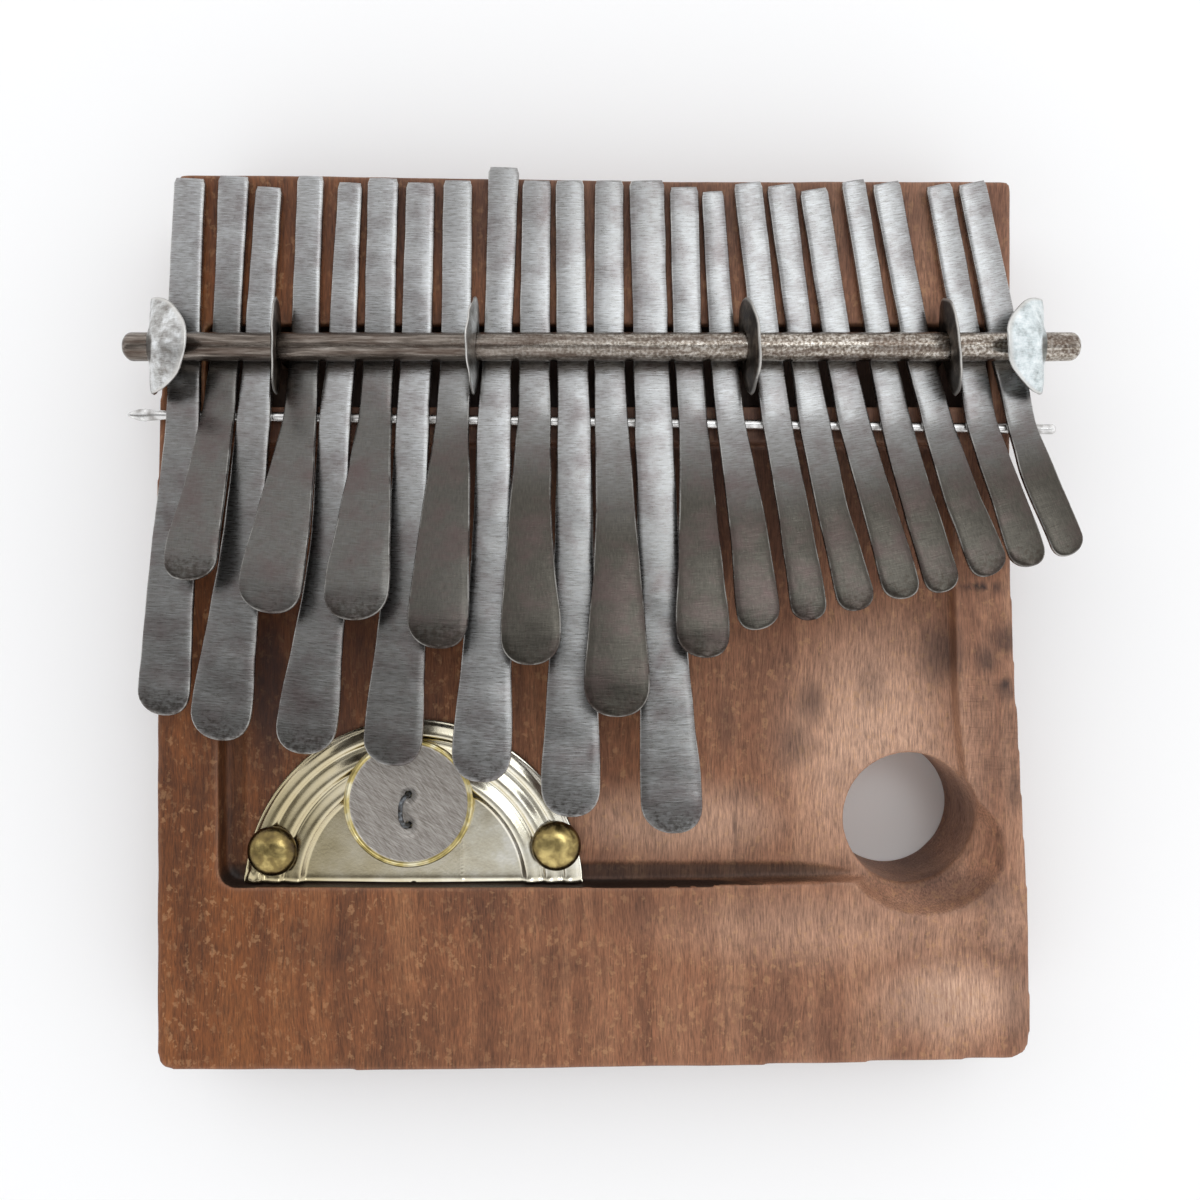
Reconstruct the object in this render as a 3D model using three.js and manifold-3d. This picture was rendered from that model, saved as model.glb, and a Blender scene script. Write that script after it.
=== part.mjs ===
// A 22-key mbira: forged steel keys held down on a carved hardwood soundboard by one pressure bar.
// Frame: millimetres, X to the player's right, Y towards the keys' back ends, Z out of the front face.
// The origin is the centre of the board's flat back face.
import * as THREE from "three";
import { mergeVertices } from "three/addons/utils/BufferGeometryUtils.js";
import Module from "manifold-3d";

const wasm = await Module();
wasm.setup();

// ---- Driving dimensions ----

const fitGap = 0.1; // between two pieces that rest on each other
const boreGap = 0.3; // round a shank, pin, wire or bar in its hole

const board = {
  length: 203.6, // along Y
  headWidth: 191.6, // at the keys' back ends
  footWidth: 200.4, // at the end nearest the player
  thickness: 30,
  leftFlareEnd: 45, // Y where the left side reaches its full width
  rightFlareStart: 5, // Y where the right side begins to widen
  rightFlareEnd: -70,
  footBow: 1, // how far the foot edge swells at its middle
  headRadius: 2.5,
  footLeftRadius: 3.5,
  footRightRadius: 6,
};

// The sunk playing area, open to the finger hole at its lower right. Borders are the full-height
// wood left outside it.
const recess = { depth: 5, leftBorder: 13.9, footBorder: 41.2, pastHole: 8.1, cornerRadius: 5 };

const pinkyHole = { fromRightSide: 26.5, fromFoot: 56.2, diameter: 30.6 };

// The thumb rest scooped out of the front face, set off from the hole's centre.
const scoop = { right: 2.3, down: 6.4, halfWidth: 19.5, halfLength: 15.5, depth: 9, rise: 3 };

// The pressure bar lies behind the bridge rod, over a cross groove. The wood left between the groove
// and the recess is the ridge that carries the rod.
const bar = { diameter: 6.5, fromHead: 39.5, leftEnd: 8.7, rightEnd: 10.8, endRadius: 1.6 };
const rod = { diameter: 2.3, aheadOfBar: 16.15, leftEnd: 6.3, rightEnd: 9.7, tiltDegrees: -0.9 };
const ridge = { behindRod: 3.65, aheadOfRod: 4.65 };
const groove = { behindBar: 6.3, leftBorder: 9.6, rightBorder: 4.8, depth: 7, cornerRadius: 1.5 };

const keyThickness = 1.7;
const pressGap = 0.5; // between the keys and the bar
const seatLift = 0.8; // under a key at its back end, above the board
const barLift = 0.6; // under a key below the bar, above the board's front face

// Forged discs with a hole for the bar. A clamp eye is such a disc on a shank through the board.
const disc = { radius: 10.9, thickness: 1.4 };
const eyeShank = { diameter: 4, neckWidth: 4.4, endAboveBack: 1 };
const washer = { rim: 2.7, thickness: 1 };
const nut = { wall: 1.5, thickness: 3.2 };
const counterbore = { room: 1.5, depth: 6 };

// Each eye stands half way between the key of this number and the next. Lean is sideways per mm of
// height, and the turn follows this share of the slant of the gap between the two keys.
const eyePlaces = [
  { name: "left_outer", key: 3, lean: 0.1 },
  { name: "left_inner", key: 8, lean: 0.04 },
  { name: "right_inner", key: 15, lean: 0.08 },
  { name: "right_outer", key: 20, lean: -0.05 },
];
const eyeTurnShare = 0.7;

// The discs near the bar's ends, hammered over towards the middle. They cross the bar just inside
// the board's left side and just outside its right side.
const endDisc = { insideLeft: 2, outsideRight: 2.4, lean: 0.95, heightShare: 0.75 };

// Half of a pressed tin lid with stepped rings, in the lower left corner of the recess floor. Its
// centre lies a little past the straight edge.
const lid = { fromLeft: 4.8, pastFoot: 1.2, edgeGap: 0.4, radius: 39.5, sheet: 0.4, panelRadius: 25.6 };
const lidRings = { pitch: 3.2, height: 1, trough: 0.3 };
const lidFloorGap = 0.2;

// The loose disc, set off from the lid's centre, and the wire loop through its two holes.
const rattle = { left: 1, up: 20.3, radius: 15, sheet: 0.7, rimWidth: 1.2, rimHeight: 1.3 };
const rattleTravel = 0.8; // up the wire
const wire = { left: 0.2, up: 1.7, down: 5, diameter: 1.1, bow: 1.2, bend: 1.4, bite: 9 };

const tack = { domeRadius: 5.8, domeHeight: 3, pinDiameter: 1.5, bite: 8 };
const tackPlaces = [
  { name: "tack_left", right: -32.7, up: 9 },
  { name: "tack_right", right: 33.2, up: 10.2 },
];

// The keys, left to right, one row each: how far the back end stops short of the board's head edge;
// then [centre X, width] at the back end, under the bar, on the rod, half way from there to the wide
// part, and at the wide part; then the reach from the bar to the tip, and how far the tip stands
// above the rod. On the left, odd keys are the long lower row and even keys the upper row. X and
// widths suit a board whose sides at the bar stand at keyLayout, and follow the board's own sides.
const keyLayout = { left: -98.9, right: 95.8 };
const keyRows = [
  [0.3, [-92, 7], [-93.5, 7.5], [-93, 7.5], [-94, 10], [-95, 11.5], 82.3, 6.5],
  [-0.2, [-82, 7], [-84, 6.5], [-85, 7.5], [-85.5, 9], [-87, 11.5], 52.8, 12],
  [2.3, [-74, 6], [-76.5, 6.5], [-77, 7.5], [-79, 9.5], [-82, 13.5], 87.8, 7],
  [-0.2, [-64.5, 6], [-66, 6.5], [-66.5, 7.5], [-67.5, 11], [-69.5, 14], 59.8, 12.5],
  [1.3, [-55.5, 5.5], [-57.5, 6.5], [-58.5, 7], [-59.5, 9], [-63, 13.5], 90.8, 7.5],
  [0.3, [-48, 7], [-49, 7], [-49.5, 7.5], [-50, 10.5], [-51, 14], 61.3, 13],
  [1.3, [-39.5, 6.5], [-40.5, 7], [-41, 7.5], [-42, 9.5], [-44, 13], 93.3, 8],
  [0.8, [-31, 6.5], [-31.5, 7], [-32, 7.5], [-32.5, 10.5], [-33.5, 13], 67.3, 13.5],
  [-2.2, [-20.5, 7], [-22, 6.5], [-22.5, 7.5], [-23, 9.5], [-24.5, 13], 96.8, 8.5],
  [0.8, [-13, 6.5], [-13.5, 7], [-13.5, 7.5], [-14, 9.5], [-13.5, 13], 70.8, 14],
  [0.8, [-5.5, 6.5], [-5, 7], [-4.5, 7.5], [-4.5, 9.5], [-5, 13], 104.3, 9],
  [0.8, [3.5, 6.5], [3.5, 7], [4, 7.5], [5, 9.5], [5, 14], 81.8, 15],
  [0.8, [12, 8], [13, 8], [13.5, 8.5], [15, 10], [17, 13.5], 107.8, 9.5],
  [2.3, [20.5, 6.5], [21.5, 6.5], [22.5, 6.5], [23, 8.5], [23.5, 11.5], 69.3, 13],
  [3.3, [27, 5], [29.5, 6], [31, 6.5], [33.5, 8], [35.5, 9.5], 63.3, 11],
  [1.3, [35, 6.5], [39.5, 6.5], [41.5, 6.5], [44, 7], [46.5, 8], 61.3, 10.5],
  [1.8, [42.5, 6.5], [47.5, 6], [50, 7], [52.5, 7], [56.5, 8.5], 59.3, 10],
  [2.8, [50, 6.5], [56, 6.5], [59, 7], [62.5, 7.5], [66.5, 8.5], 56.8, 9.5],
  [0.8, [59, 5.5], [65.5, 6], [68.5, 7], [71.5, 7.5], [75.5, 8], 55.3, 9],
  [1.3, [66.5, 6.5], [74, 6.5], [78, 7], [81, 8], [85.5, 9], 51.8, 8.5],
  [1.8, [78.5, 6], [85.5, 6.5], [88, 7], [91, 7.5], [94.5, 8.5], 49.8, 8],
  [1.3, [86, 6.5], [94, 7], [97, 6.5], [99.5, 8], [103.5, 8], 47.3, 7.5],
];
const lowerRowKeys = [1, 3, 5, 7, 9, 11, 13]; // these rise straight, the others curve up at once
const lowerRowEase = 1;
const upperRowEase = 1.5;

// ---- Places and heights that follow from the sizes ----

const head = board.length / 2;
const foot = -board.length / 2;
const headHalf = board.headWidth / 2;
const footHalf = board.footWidth / 2;
const front = board.thickness;

const recessLeft = -footHalf + recess.leftBorder;
const recessFoot = foot + recess.footBorder;
const recessFloor = front - recess.depth;
const hole = { x: footHalf - pinkyHole.fromRightSide, y: foot + pinkyHole.fromFoot };
const recessRight = hole.x + recess.pastHole;

const barY = head - bar.fromHead;
const flareShare = Math.min((head - barY) / (head - board.leftFlareEnd), 1);
const barSideLeft = -headHalf - (footHalf - headHalf) * flareShare;
const barSideRight = headHalf;
const rodMiddleY = barY - rod.aheadOfBar;
const rodTilt = THREE.MathUtils.degToRad(rod.tiltDegrees);
const rodAxisZ = front + fitGap + rod.diameter / 2;
const keySeatZ = rodAxisZ + rod.diameter / 2 + fitGap;
const barAxisZ = front + barLift + keyThickness + pressGap + bar.diameter / 2;
const eyeBoreRadius = bar.diameter / 2 + boreGap;
const washerDiameter = eyeShank.diameter + 2 * boreGap + 2 * washer.rim;

const lidX = recessLeft + lid.fromLeft + lid.radius;
const lidY = recessFoot - lid.pastFoot;
const lidTop = recessFloor + lidFloorGap + lid.sheet;
const rattleX = lidX - rattle.left;
const rattleY = lidY + rattle.up;
const rattleBottom = lidTop + lidRings.height + lidFloorGap;
const wireX = rattleX - wire.left;
const wireHeadY = rattleY + wire.up;
const wireFootY = rattleY - wire.down;
const tacks = tackPlaces.map(({ name, right, up }) => ({ name, x: lidX + right, y: lidY + up }));

function rodYAt(x) {
  return rodMiddleY + x * Math.tan(rodTilt);
}

const keySpread = (barSideRight - barSideLeft) / (keyLayout.right - keyLayout.left);

function spreadStation([x, width]) {
  return [barSideRight + (x - keyLayout.right) * keySpread, width * keySpread];
}

const keys = keyRows.map(([inset, back, bar, rod, mid, wide, reach, lift]) => {
  const stations = [back, bar, rod, mid, wide].map(spreadStation);
  return { inset, reach, lift, stations, bar: stations[1], rod: stations[2], wide: stations[4] };
});

// Middle of the gap between a numbered key and the next, at the stations "bar" or "rod".
function gapMiddle(number, station) {
  const [leftX, leftWidth] = keys[number - 1][station];
  const [rightX, rightWidth] = keys[number][station];
  return (leftX + leftWidth / 2 + rightX - rightWidth / 2) / 2;
}

const eyes = eyePlaces.map(({ name, key, lean }) => {
  const x = gapMiddle(key, "bar");
  const slant = (x - gapMiddle(key, "rod")) / rod.aheadOfBar;
  return { name, x, lean, turn: eyeTurnShare * slant };
});
const leftDiscX = barSideLeft + endDisc.insideLeft;
const rightDiscX = barSideRight + endDisc.outsideRight;
const endDiscs = [
  { name: "end_disc_left", x: leftDiscX, lean: endDisc.lean },
  { name: "end_disc_right", x: rightDiscX, lean: -endDisc.lean },
];

// ---- Materials ----

const finishes = {
  hardwood: new THREE.MeshStandardMaterial({ color: 0x7a4a34, roughness: 0.6, metalness: 0 }),
  keySteel: new THREE.MeshStandardMaterial({ color: 0x8d8b87, roughness: 0.42, metalness: 1 }),
  barSteel: new THREE.MeshStandardMaterial({ color: 0x6e5f56, roughness: 0.5, metalness: 1 }),
  rodSteel: new THREE.MeshStandardMaterial({ color: 0xb9bcc0, roughness: 0.35, metalness: 1 }),
  tinplate: new THREE.MeshStandardMaterial({ color: 0xcdbd92, roughness: 0.25, metalness: 1 }),
  brass: new THREE.MeshStandardMaterial({ color: 0xa98b4d, roughness: 0.4, metalness: 1 }),
};

// ---- Helpers ----

function toSolid(geometry) {
  const bare = geometry.clone();
  bare.deleteAttribute("normal");
  bare.deleteAttribute("uv");
  const merged = mergeVertices(bare, 1e-4);
  const vertProperties = new Float32Array(merged.attributes.position.array);
  const triVerts = new Uint32Array(merged.index.array);
  return new wasm.Manifold(new wasm.Mesh({ numProp: 3, vertProperties, triVerts }));
}

function toGeometry(solid) {
  const mesh = solid.getMesh();
  const geometry = new THREE.BufferGeometry();
  geometry.setAttribute("position", new THREE.BufferAttribute(mesh.vertProperties, 3));
  geometry.setIndex(new THREE.BufferAttribute(mesh.triVerts, 1));
  return geometry;
}

function cutAll(geometry, cutters) {
  let solid = toSolid(geometry);
  for (const cutter of cutters) solid = solid.subtract(toSolid(cutter));
  return toGeometry(solid);
}

function pieceOf(name, geometry, finish) {
  const mesh = new THREE.Mesh(geometry, finish);
  mesh.name = name;
  return mesh;
}

// An upright round bar from one height to another.
function upright(diameter, x, y, lowZ, highZ, sides = 16) {
  const geometry = new THREE.CylinderGeometry(diameter / 2, diameter / 2, highZ - lowZ, sides);
  geometry.rotateX(Math.PI / 2);
  return geometry.translate(x, y, (lowZ + highZ) / 2);
}

// A closed outline through corners [x, y, radius], each corner rounded by its radius.
function roundedOutline(corners) {
  const shape = new THREE.Shape();
  const points = corners.map(([x, y]) => new THREE.Vector2(x, y));
  corners.forEach(([x, y, radius], i) => {
    const before = points[(i + points.length - 1) % points.length];
    const after = points[(i + 1) % points.length];
    const entry = before.clone().sub(points[i]).setLength(radius).add(points[i]);
    const exit = after.clone().sub(points[i]).setLength(radius).add(points[i]);
    if (i === 0) shape.moveTo(entry.x, entry.y);
    else shape.lineTo(entry.x, entry.y);
    if (radius > 0) shape.quadraticCurveTo(x, y, exit.x, exit.y);
  });
  return shape;
}

function slab(shape, lowZ, highZ, curveSegments = 4) {
  const depth = highZ - lowZ;
  const geometry = new THREE.ExtrudeGeometry(shape, { depth, bevelEnabled: false, curveSegments });
  return geometry.translate(0, 0, lowZ);
}

// ---- Soundboard ----

function boardOutline() {
  const bowRadius = footHalf / 5;
  return roundedOutline([
    [headHalf, head, board.headRadius],
    [-headHalf, head, board.headRadius],
    [-footHalf, board.leftFlareEnd, 12],
    [-footHalf, foot + board.footBow, board.footLeftRadius],
    [-footHalf / 4, foot, bowRadius],
    [footHalf / 4, foot, bowRadius],
    [footHalf, foot + 2 * board.footBow, board.footRightRadius],
    [footHalf, board.rightFlareEnd, 15],
    [headHalf, board.rightFlareStart, 15],
  ]);
}

// The right wall slants outwards to run into the hole, and the foot wall rises a little to meet it.
function recessOutline() {
  const ridgeFoot = rodMiddleY - ridge.aheadOfRod;
  const holeRadius = pinkyHole.diameter / 2;
  return roundedOutline([
    [recessRight, ridgeFoot, recess.cornerRadius],
    [recessLeft, ridgeFoot, recess.cornerRadius],
    [recessLeft, recessFoot, recess.cornerRadius],
    [lidX + lid.radius + recess.cornerRadius, recessFoot, 2],
    [hole.x - 0.5 * holeRadius, recessFoot + 1.5, 2],
    [hole.x + 0.5 * holeRadius, hole.y, 2],
    [hole.x + 0.78 * holeRadius, hole.y + 0.6 * holeRadius, 2],
    [recessRight + 1.9, hole.y + 1.6 * holeRadius, 4],
  ]);
}

function grooveOutline() {
  const left = barSideLeft + groove.leftBorder;
  const right = barSideRight - groove.rightBorder;
  const behind = barY + groove.behindBar;
  const ahead = rodMiddleY + ridge.behindRod;
  return roundedOutline([
    [right, behind, groove.cornerRadius],
    [left, behind, groove.cornerRadius],
    [left, ahead, groove.cornerRadius],
    [right, ahead, groove.cornerRadius],
  ]);
}

function scoopCutter() {
  const geometry = new THREE.SphereGeometry(1, 24, 12);
  geometry.rotateX(Math.PI / 2);
  geometry.scale(scoop.halfWidth, scoop.halfLength, scoop.depth + scoop.rise);
  return geometry.translate(hole.x + scoop.right, hole.y - scoop.down, front + scoop.rise);
}

function soundboard() {
  const above = front + 1;
  const below = -1;
  const wireBore = wire.diameter + 2 * boreGap;
  const cutters = [
    slab(recessOutline(), recessFloor, above, 4),
    slab(grooveOutline(), front - groove.depth, above, 3),
    upright(pinkyHole.diameter, hole.x, hole.y, below, above, 40),
    scoopCutter(),
    upright(wireBore, wireX, wireHeadY, recessFloor - wire.bite - boreGap, above, 8),
    upright(wireBore, wireX, wireFootY, recessFloor - wire.bite - boreGap, above, 8),
  ];
  for (const { x, y } of tacks) {
    const bore = tack.pinDiameter + 2 * boreGap;
    cutters.push(upright(bore, x, y, recessFloor - tack.bite - boreGap, above, 8));
  }
  for (const { x } of eyes) {
    const sink = washerDiameter + 2 * counterbore.room;
    cutters.push(upright(eyeShank.diameter + 2 * boreGap, x, barY, below, above));
    cutters.push(upright(sink, x, barY, below, counterbore.depth, 20));
  }
  return pieceOf("soundboard", cutAll(slab(boardOutline(), 0, front), cutters), finishes.hardwood);
}

// ---- Pressure bar and bridge rod ----

// A round bar along X, turned from a profile whose ends are rounded over.
function roundBar(diameter, left, right, endRadius, sides) {
  const radius = diameter / 2;
  const half = (right - left) / 2;
  const profile = new THREE.Path();
  profile.moveTo(0, -half);
  profile.lineTo(radius - endRadius, -half);
  profile.quadraticCurveTo(radius, -half, radius, -half + endRadius);
  profile.lineTo(radius, half - endRadius);
  profile.quadraticCurveTo(radius, half, radius - endRadius, half);
  profile.lineTo(0, half);
  const geometry = new THREE.LatheGeometry(profile.getPoints(3), sides);
  geometry.rotateZ(-Math.PI / 2);
  return geometry.translate((left + right) / 2, 0, 0);
}

function pressureBar() {
  const left = leftDiscX - bar.leftEnd;
  const right = rightDiscX + bar.rightEnd;
  const geometry = roundBar(bar.diameter, left, right, bar.endRadius, 20);
  return pieceOf("pressure_bar", geometry.translate(0, barY, barAxisZ), finishes.barSteel);
}

function bridgeRod() {
  const left = -footHalf - rod.leftEnd;
  const right = headHalf + rod.rightEnd;
  const geometry = roundBar(rod.diameter, left, right, rod.diameter / 3, 10);
  geometry.rotateZ(rodTilt);
  return pieceOf("bridge_rod", geometry.translate(0, rodMiddleY, rodAxisZ), finishes.rodSteel);
}

// ---- Discs on the bar, and the eyes that pull it down ----

// A disc across the bar at x, with its bore true to the bar. The rim's height is squeezed by
// upperHeight above the bar and lowerHeight below it, and the disc is sheared by lean and turn.
function barDisc({ x, lean, turn = 0 }, upperHeight, lowerHeight) {
  const half = disc.thickness / 2;
  const middle = (eyeBoreRadius + disc.radius) / 2;
  const profile = [
    [eyeBoreRadius, -half],
    [middle, -half],
    [disc.radius, -half],
    [disc.radius, half],
    [middle, half],
    [eyeBoreRadius, half],
    [eyeBoreRadius, -half],
  ].map(([r, z]) => new THREE.Vector2(r, z));
  const geometry = new THREE.LatheGeometry(profile, 22);
  geometry.rotateZ(-Math.PI / 2);
  const points = geometry.attributes.position;
  for (let i = 0; i < points.count; i++) {
    const across = points.getX(i);
    const along = points.getY(i);
    const radius = Math.hypot(along, points.getZ(i));
    const rimShare = (radius - eyeBoreRadius) / (disc.radius - eyeBoreRadius);
    const squeeze = points.getZ(i) > 0 ? upperHeight : lowerHeight;
    const up = points.getZ(i) * (1 - (1 - squeeze) * rimShare);
    points.setXYZ(i, x + across + lean * up + turn * along, barY + along, barAxisZ + up);
  }
  return geometry;
}

function clampEye(eye) {
  const plateFoot = front - boreGap; // the disc stops where the groove begins
  const shankTop = front - fitGap - 1;
  const neckHead = barAxisZ - eyeBoreRadius - 1;
  const neck = new THREE.BoxGeometry(disc.thickness, eyeShank.neckWidth, neckHead - shankTop + 3);
  neck.translate(eye.x, barY, (neckHead + shankTop - 3) / 2);
  const shank = upright(eyeShank.diameter, eye.x, barY, eyeShank.endAboveBack, shankTop);
  const plate = toSolid(barDisc(eye, 1, (barAxisZ - plateFoot) / disc.radius));
  const solid = plate.add(toSolid(neck)).add(toSolid(shank));
  return pieceOf("clamp_eye_" + eye.name, toGeometry(solid), finishes.keySteel);
}

function clampWasher(eye) {
  const bore = eyeShank.diameter / 2 + boreGap;
  const high = counterbore.depth - fitGap;
  const low = high - washer.thickness;
  const profile = [
    [bore, low],
    [washerDiameter / 2, low],
    [washerDiameter / 2, high],
    [bore, high],
    [bore, low],
  ].map(([r, z]) => new THREE.Vector2(r, z));
  const geometry = new THREE.LatheGeometry(profile, 20);
  geometry.rotateX(Math.PI / 2);
  geometry.translate(eye.x, barY, 0);
  return pieceOf("clamp_washer_" + eye.name, geometry, finishes.rodSteel);
}

function clampNut(eye) {
  const acrossFlats = eyeShank.diameter + 2 * nut.wall;
  const corner = acrossFlats / Math.sqrt(3);
  const shape = new THREE.Shape();
  for (let i = 0; i < 6; i++) {
    const angle = (i * Math.PI) / 3;
    if (i === 0) shape.moveTo(corner * Math.cos(angle), corner * Math.sin(angle));
    else shape.lineTo(corner * Math.cos(angle), corner * Math.sin(angle));
  }
  const bore = new THREE.Path();
  bore.absarc(0, 0, eyeShank.diameter / 2 + fitGap, 0, 2 * Math.PI, true);
  shape.holes.push(bore);
  const high = counterbore.depth - fitGap - washer.thickness - fitGap;
  const geometry = slab(shape, high - nut.thickness, high, 8);
  geometry.translate(eye.x, barY, 0);
  return pieceOf("clamp_nut_" + eye.name, geometry, finishes.rodSteel);
}

function barEndDisc(place) {
  const geometry = barDisc(place, endDisc.heightShare, endDisc.heightShare);
  return pieceOf(place.name, geometry, finishes.rodSteel);
}

// ---- Keys ----

// Height of a key's underside: flat from its back end to the bar, up on to the rod, then rising.
function keyUnderside(y, backY, rodY, tipY, lift, ease) {
  if (y >= barY) return front + THREE.MathUtils.mapLinear(y, barY, backY, barLift, seatLift);
  if (y >= rodY) return THREE.MathUtils.mapLinear(y, barY, rodY, front + barLift, keySeatZ);
  const share = Math.min((rodY - y) / (rodY - tipY), 1);
  return keySeatZ + lift * (1 - Math.pow(1 - share, ease));
}

function keyMesh(key, number) {
  const backY = head - key.inset;
  const tipY = barY - key.reach;
  const rodY = rodYAt(key.rod[0]);
  const wideY = tipY + 0.65 * key.wide[1];
  const stationY = [backY, barY, rodY, (rodY + wideY) / 2, wideY];
  const fromBack = stationY.map((y) => backY - y);
  const line = new THREE.CubicInterpolant(fromBack, key.stations.flat(), 2, new Float32Array(2));
  const ease = lowerRowKeys.includes(number) ? lowerRowEase : upperRowEase;

  // Rings from the back end to the tip, which is a half round of five steps.
  const rings = [{ y: backY, scale: 0.8 }];
  rings.push({ y: backY - 1, scale: 1 });
  for (const y of [(backY + barY) / 2, barY + groove.behindBar, barY, (barY + rodY) / 2, rodY]) {
    rings.push({ y, scale: 1 });
  }
  for (const share of [0.2, 0.4, 0.6, 0.8, 1]) {
    rings.push({ y: rodY + (wideY - rodY) * share, scale: 1 });
  }
  const tipStart = tipY + 0.5 * key.wide[1];
  for (const degrees of [0, 28, 50, 68, 82]) {
    const angle = THREE.MathUtils.degToRad(degrees);
    rings.push({ y: tipStart + (tipY - tipStart) * Math.sin(angle), scale: Math.cos(angle) });
  }

  const geometry = new THREE.BoxGeometry(1, 1, 1, 1, rings.length - 1, 1);
  const points = geometry.attributes.position;
  for (let i = 0; i < points.count; i++) {
    const ring = rings[Math.round((0.5 - points.getY(i)) * (rings.length - 1))];
    const distance = backY - ring.y;
    const onLine = Math.min(distance, fromBack[4]);
    const before = Math.max(onLine - 1, 0);
    const [beforeX] = line.evaluate(before);
    const [afterX] = line.evaluate(before + 1);
    const slope = afterX - beforeX; // sideways drift per mm towards the tip
    const [x, width] = line.evaluate(onLine);
    const across = (points.getX(i) * width * ring.scale) / (1 + slope * slope);
    const under = keyUnderside(ring.y, backY, rodY, tipY, key.lift, ease);
    const z = under + (points.getZ(i) + 0.5) * keyThickness;
    points.setXYZ(i, x + slope * (distance - onLine) + across, ring.y + across * slope, z);
  }
  return pieceOf("key_" + String(number).padStart(2, "0"), geometry, finishes.keySteel);
}

// ---- Rattle: a nailed half lid, a loose disc and the wire loop that keeps it ----

function rattlePlate() {
  const under = lidTop - lid.sheet;
  const surface = [[0, 0], [lid.panelRadius, 0]];
  for (let r = lid.panelRadius; r + lidRings.pitch < lid.radius; r += lidRings.pitch) {
    surface.push([r + 0.25 * lidRings.pitch, lidRings.height]);
    surface.push([r + 0.9 * lidRings.pitch, lidRings.trough]);
  }
  surface.push([lid.radius, 0]);
  const bottom = surface.map(([r, rise]) => new THREE.Vector2(r, under + rise));
  const top = surface.map(([r, rise]) => new THREE.Vector2(r, lidTop + rise)).reverse();
  const geometry = new THREE.LatheGeometry([...bottom, ...top], 40);
  geometry.rotateX(Math.PI / 2);
  geometry.translate(lidX, lidY, 0);
  const size = 4 * lid.radius;
  const farHalf = new THREE.BoxGeometry(size, size, size);
  farHalf.translate(lidX, recessFoot + lid.edgeGap - size / 2, 0);
  const wireBore = wire.diameter + 2 * boreGap;
  const cutters = [
    farHalf,
    upright(wireBore, wireX, wireHeadY, 0, 2 * front, 8),
    upright(wireBore, wireX, wireFootY, 0, 2 * front, 8),
  ];
  for (const { x, y } of tacks) {
    cutters.push(upright(tack.pinDiameter + 2 * boreGap, x, y, 0, 2 * front, 8));
  }
  return pieceOf("rattle_plate", cutAll(geometry, cutters), finishes.tinplate);
}

function rattleDisc() {
  const inner = rattle.radius - rattle.rimWidth;
  const profile = [
    [0, rattleBottom],
    [rattle.radius, rattleBottom],
    [rattle.radius, rattleBottom + rattle.rimHeight],
    [inner, rattleBottom + rattle.rimHeight],
    [inner - 0.5, rattleBottom + rattle.sheet],
    [0, rattleBottom + rattle.sheet],
  ].map(([r, z]) => new THREE.Vector2(r, z));
  const geometry = new THREE.LatheGeometry(profile, 36);
  geometry.rotateX(Math.PI / 2);
  geometry.translate(rattleX, rattleY, 0);
  const bore = wire.diameter + 3 * boreGap;
  const cutters = [
    upright(bore, wireX, wireHeadY, 0, 2 * front, 10),
    upright(bore, wireX, wireFootY, 0, 2 * front, 10),
  ];
  return pieceOf("rattle_disc", cutAll(geometry, cutters), finishes.tinplate);
}

// The wire stands in two holes and bows to the left over the disc, clear of the disc's travel.
function rattleWire() {
  const legTop = rattleBottom + rattle.rimHeight + rattleTravel + boreGap;
  const low = recessFloor - wire.bite;
  const crown = legTop + wire.bend;
  const middleY = (wireHeadY + wireFootY) / 2;
  const path = new THREE.CatmullRomCurve3(
    [
      [wireX, wireHeadY, low],
      [wireX, wireHeadY, (low + legTop) / 2],
      [wireX, wireHeadY, legTop],
      [wireX - 0.7 * wire.bow, wireHeadY - 0.8, crown - 0.3],
      [wireX - wire.bow, middleY, crown],
      [wireX - 0.7 * wire.bow, wireFootY + 0.8, crown - 0.3],
      [wireX, wireFootY, legTop],
      [wireX, wireFootY, (low + legTop) / 2],
      [wireX, wireFootY, low],
    ].map(([x, y, z]) => new THREE.Vector3(x, y, z)),
  );
  const section = new THREE.Shape();
  section.absarc(0, 0, wire.diameter / 2, 0, 2 * Math.PI, false);
  const settings = { steps: 24, curveSegments: 4, bevelEnabled: false, extrudePath: path };
  return pieceOf("rattle_wire", new THREE.ExtrudeGeometry(section, settings), finishes.barSteel);
}

function domeTack({ name, x, y }) {
  const pinRadius = tack.pinDiameter / 2;
  const base = lidTop + lidRings.height + fitGap;
  const tip = recessFloor - tack.bite;
  const profile = new THREE.Path();
  profile.moveTo(0, tip);
  profile.lineTo(pinRadius, tip + 2 * pinRadius);
  profile.lineTo(pinRadius, base);
  profile.lineTo(tack.domeRadius, base);
  const bulge = 0.72 * tack.domeRadius;
  profile.quadraticCurveTo(bulge, base + tack.domeHeight, 0, base + tack.domeHeight);
  const geometry = new THREE.LatheGeometry(profile.getPoints(4), 20);
  geometry.rotateX(Math.PI / 2);
  return pieceOf(name, geometry.translate(x, y, 0), finishes.brass);
}

// ---- Assembly ----

const mbira = new THREE.Group();
mbira.add(soundboard(), pressureBar(), bridgeRod());
for (const eye of eyes) mbira.add(clampEye(eye), clampWasher(eye), clampNut(eye));
for (const place of endDiscs) mbira.add(barEndDisc(place));
keys.forEach((key, i) => mbira.add(keyMesh(key, i + 1)));
mbira.add(rattlePlate(), rattleDisc(), rattleWire());
for (const place of tacks) mbira.add(domeTack(place));

export default mbira;
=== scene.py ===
import math
import random

import bmesh
import bpy
import numpy as np
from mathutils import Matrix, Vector, noise


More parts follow.
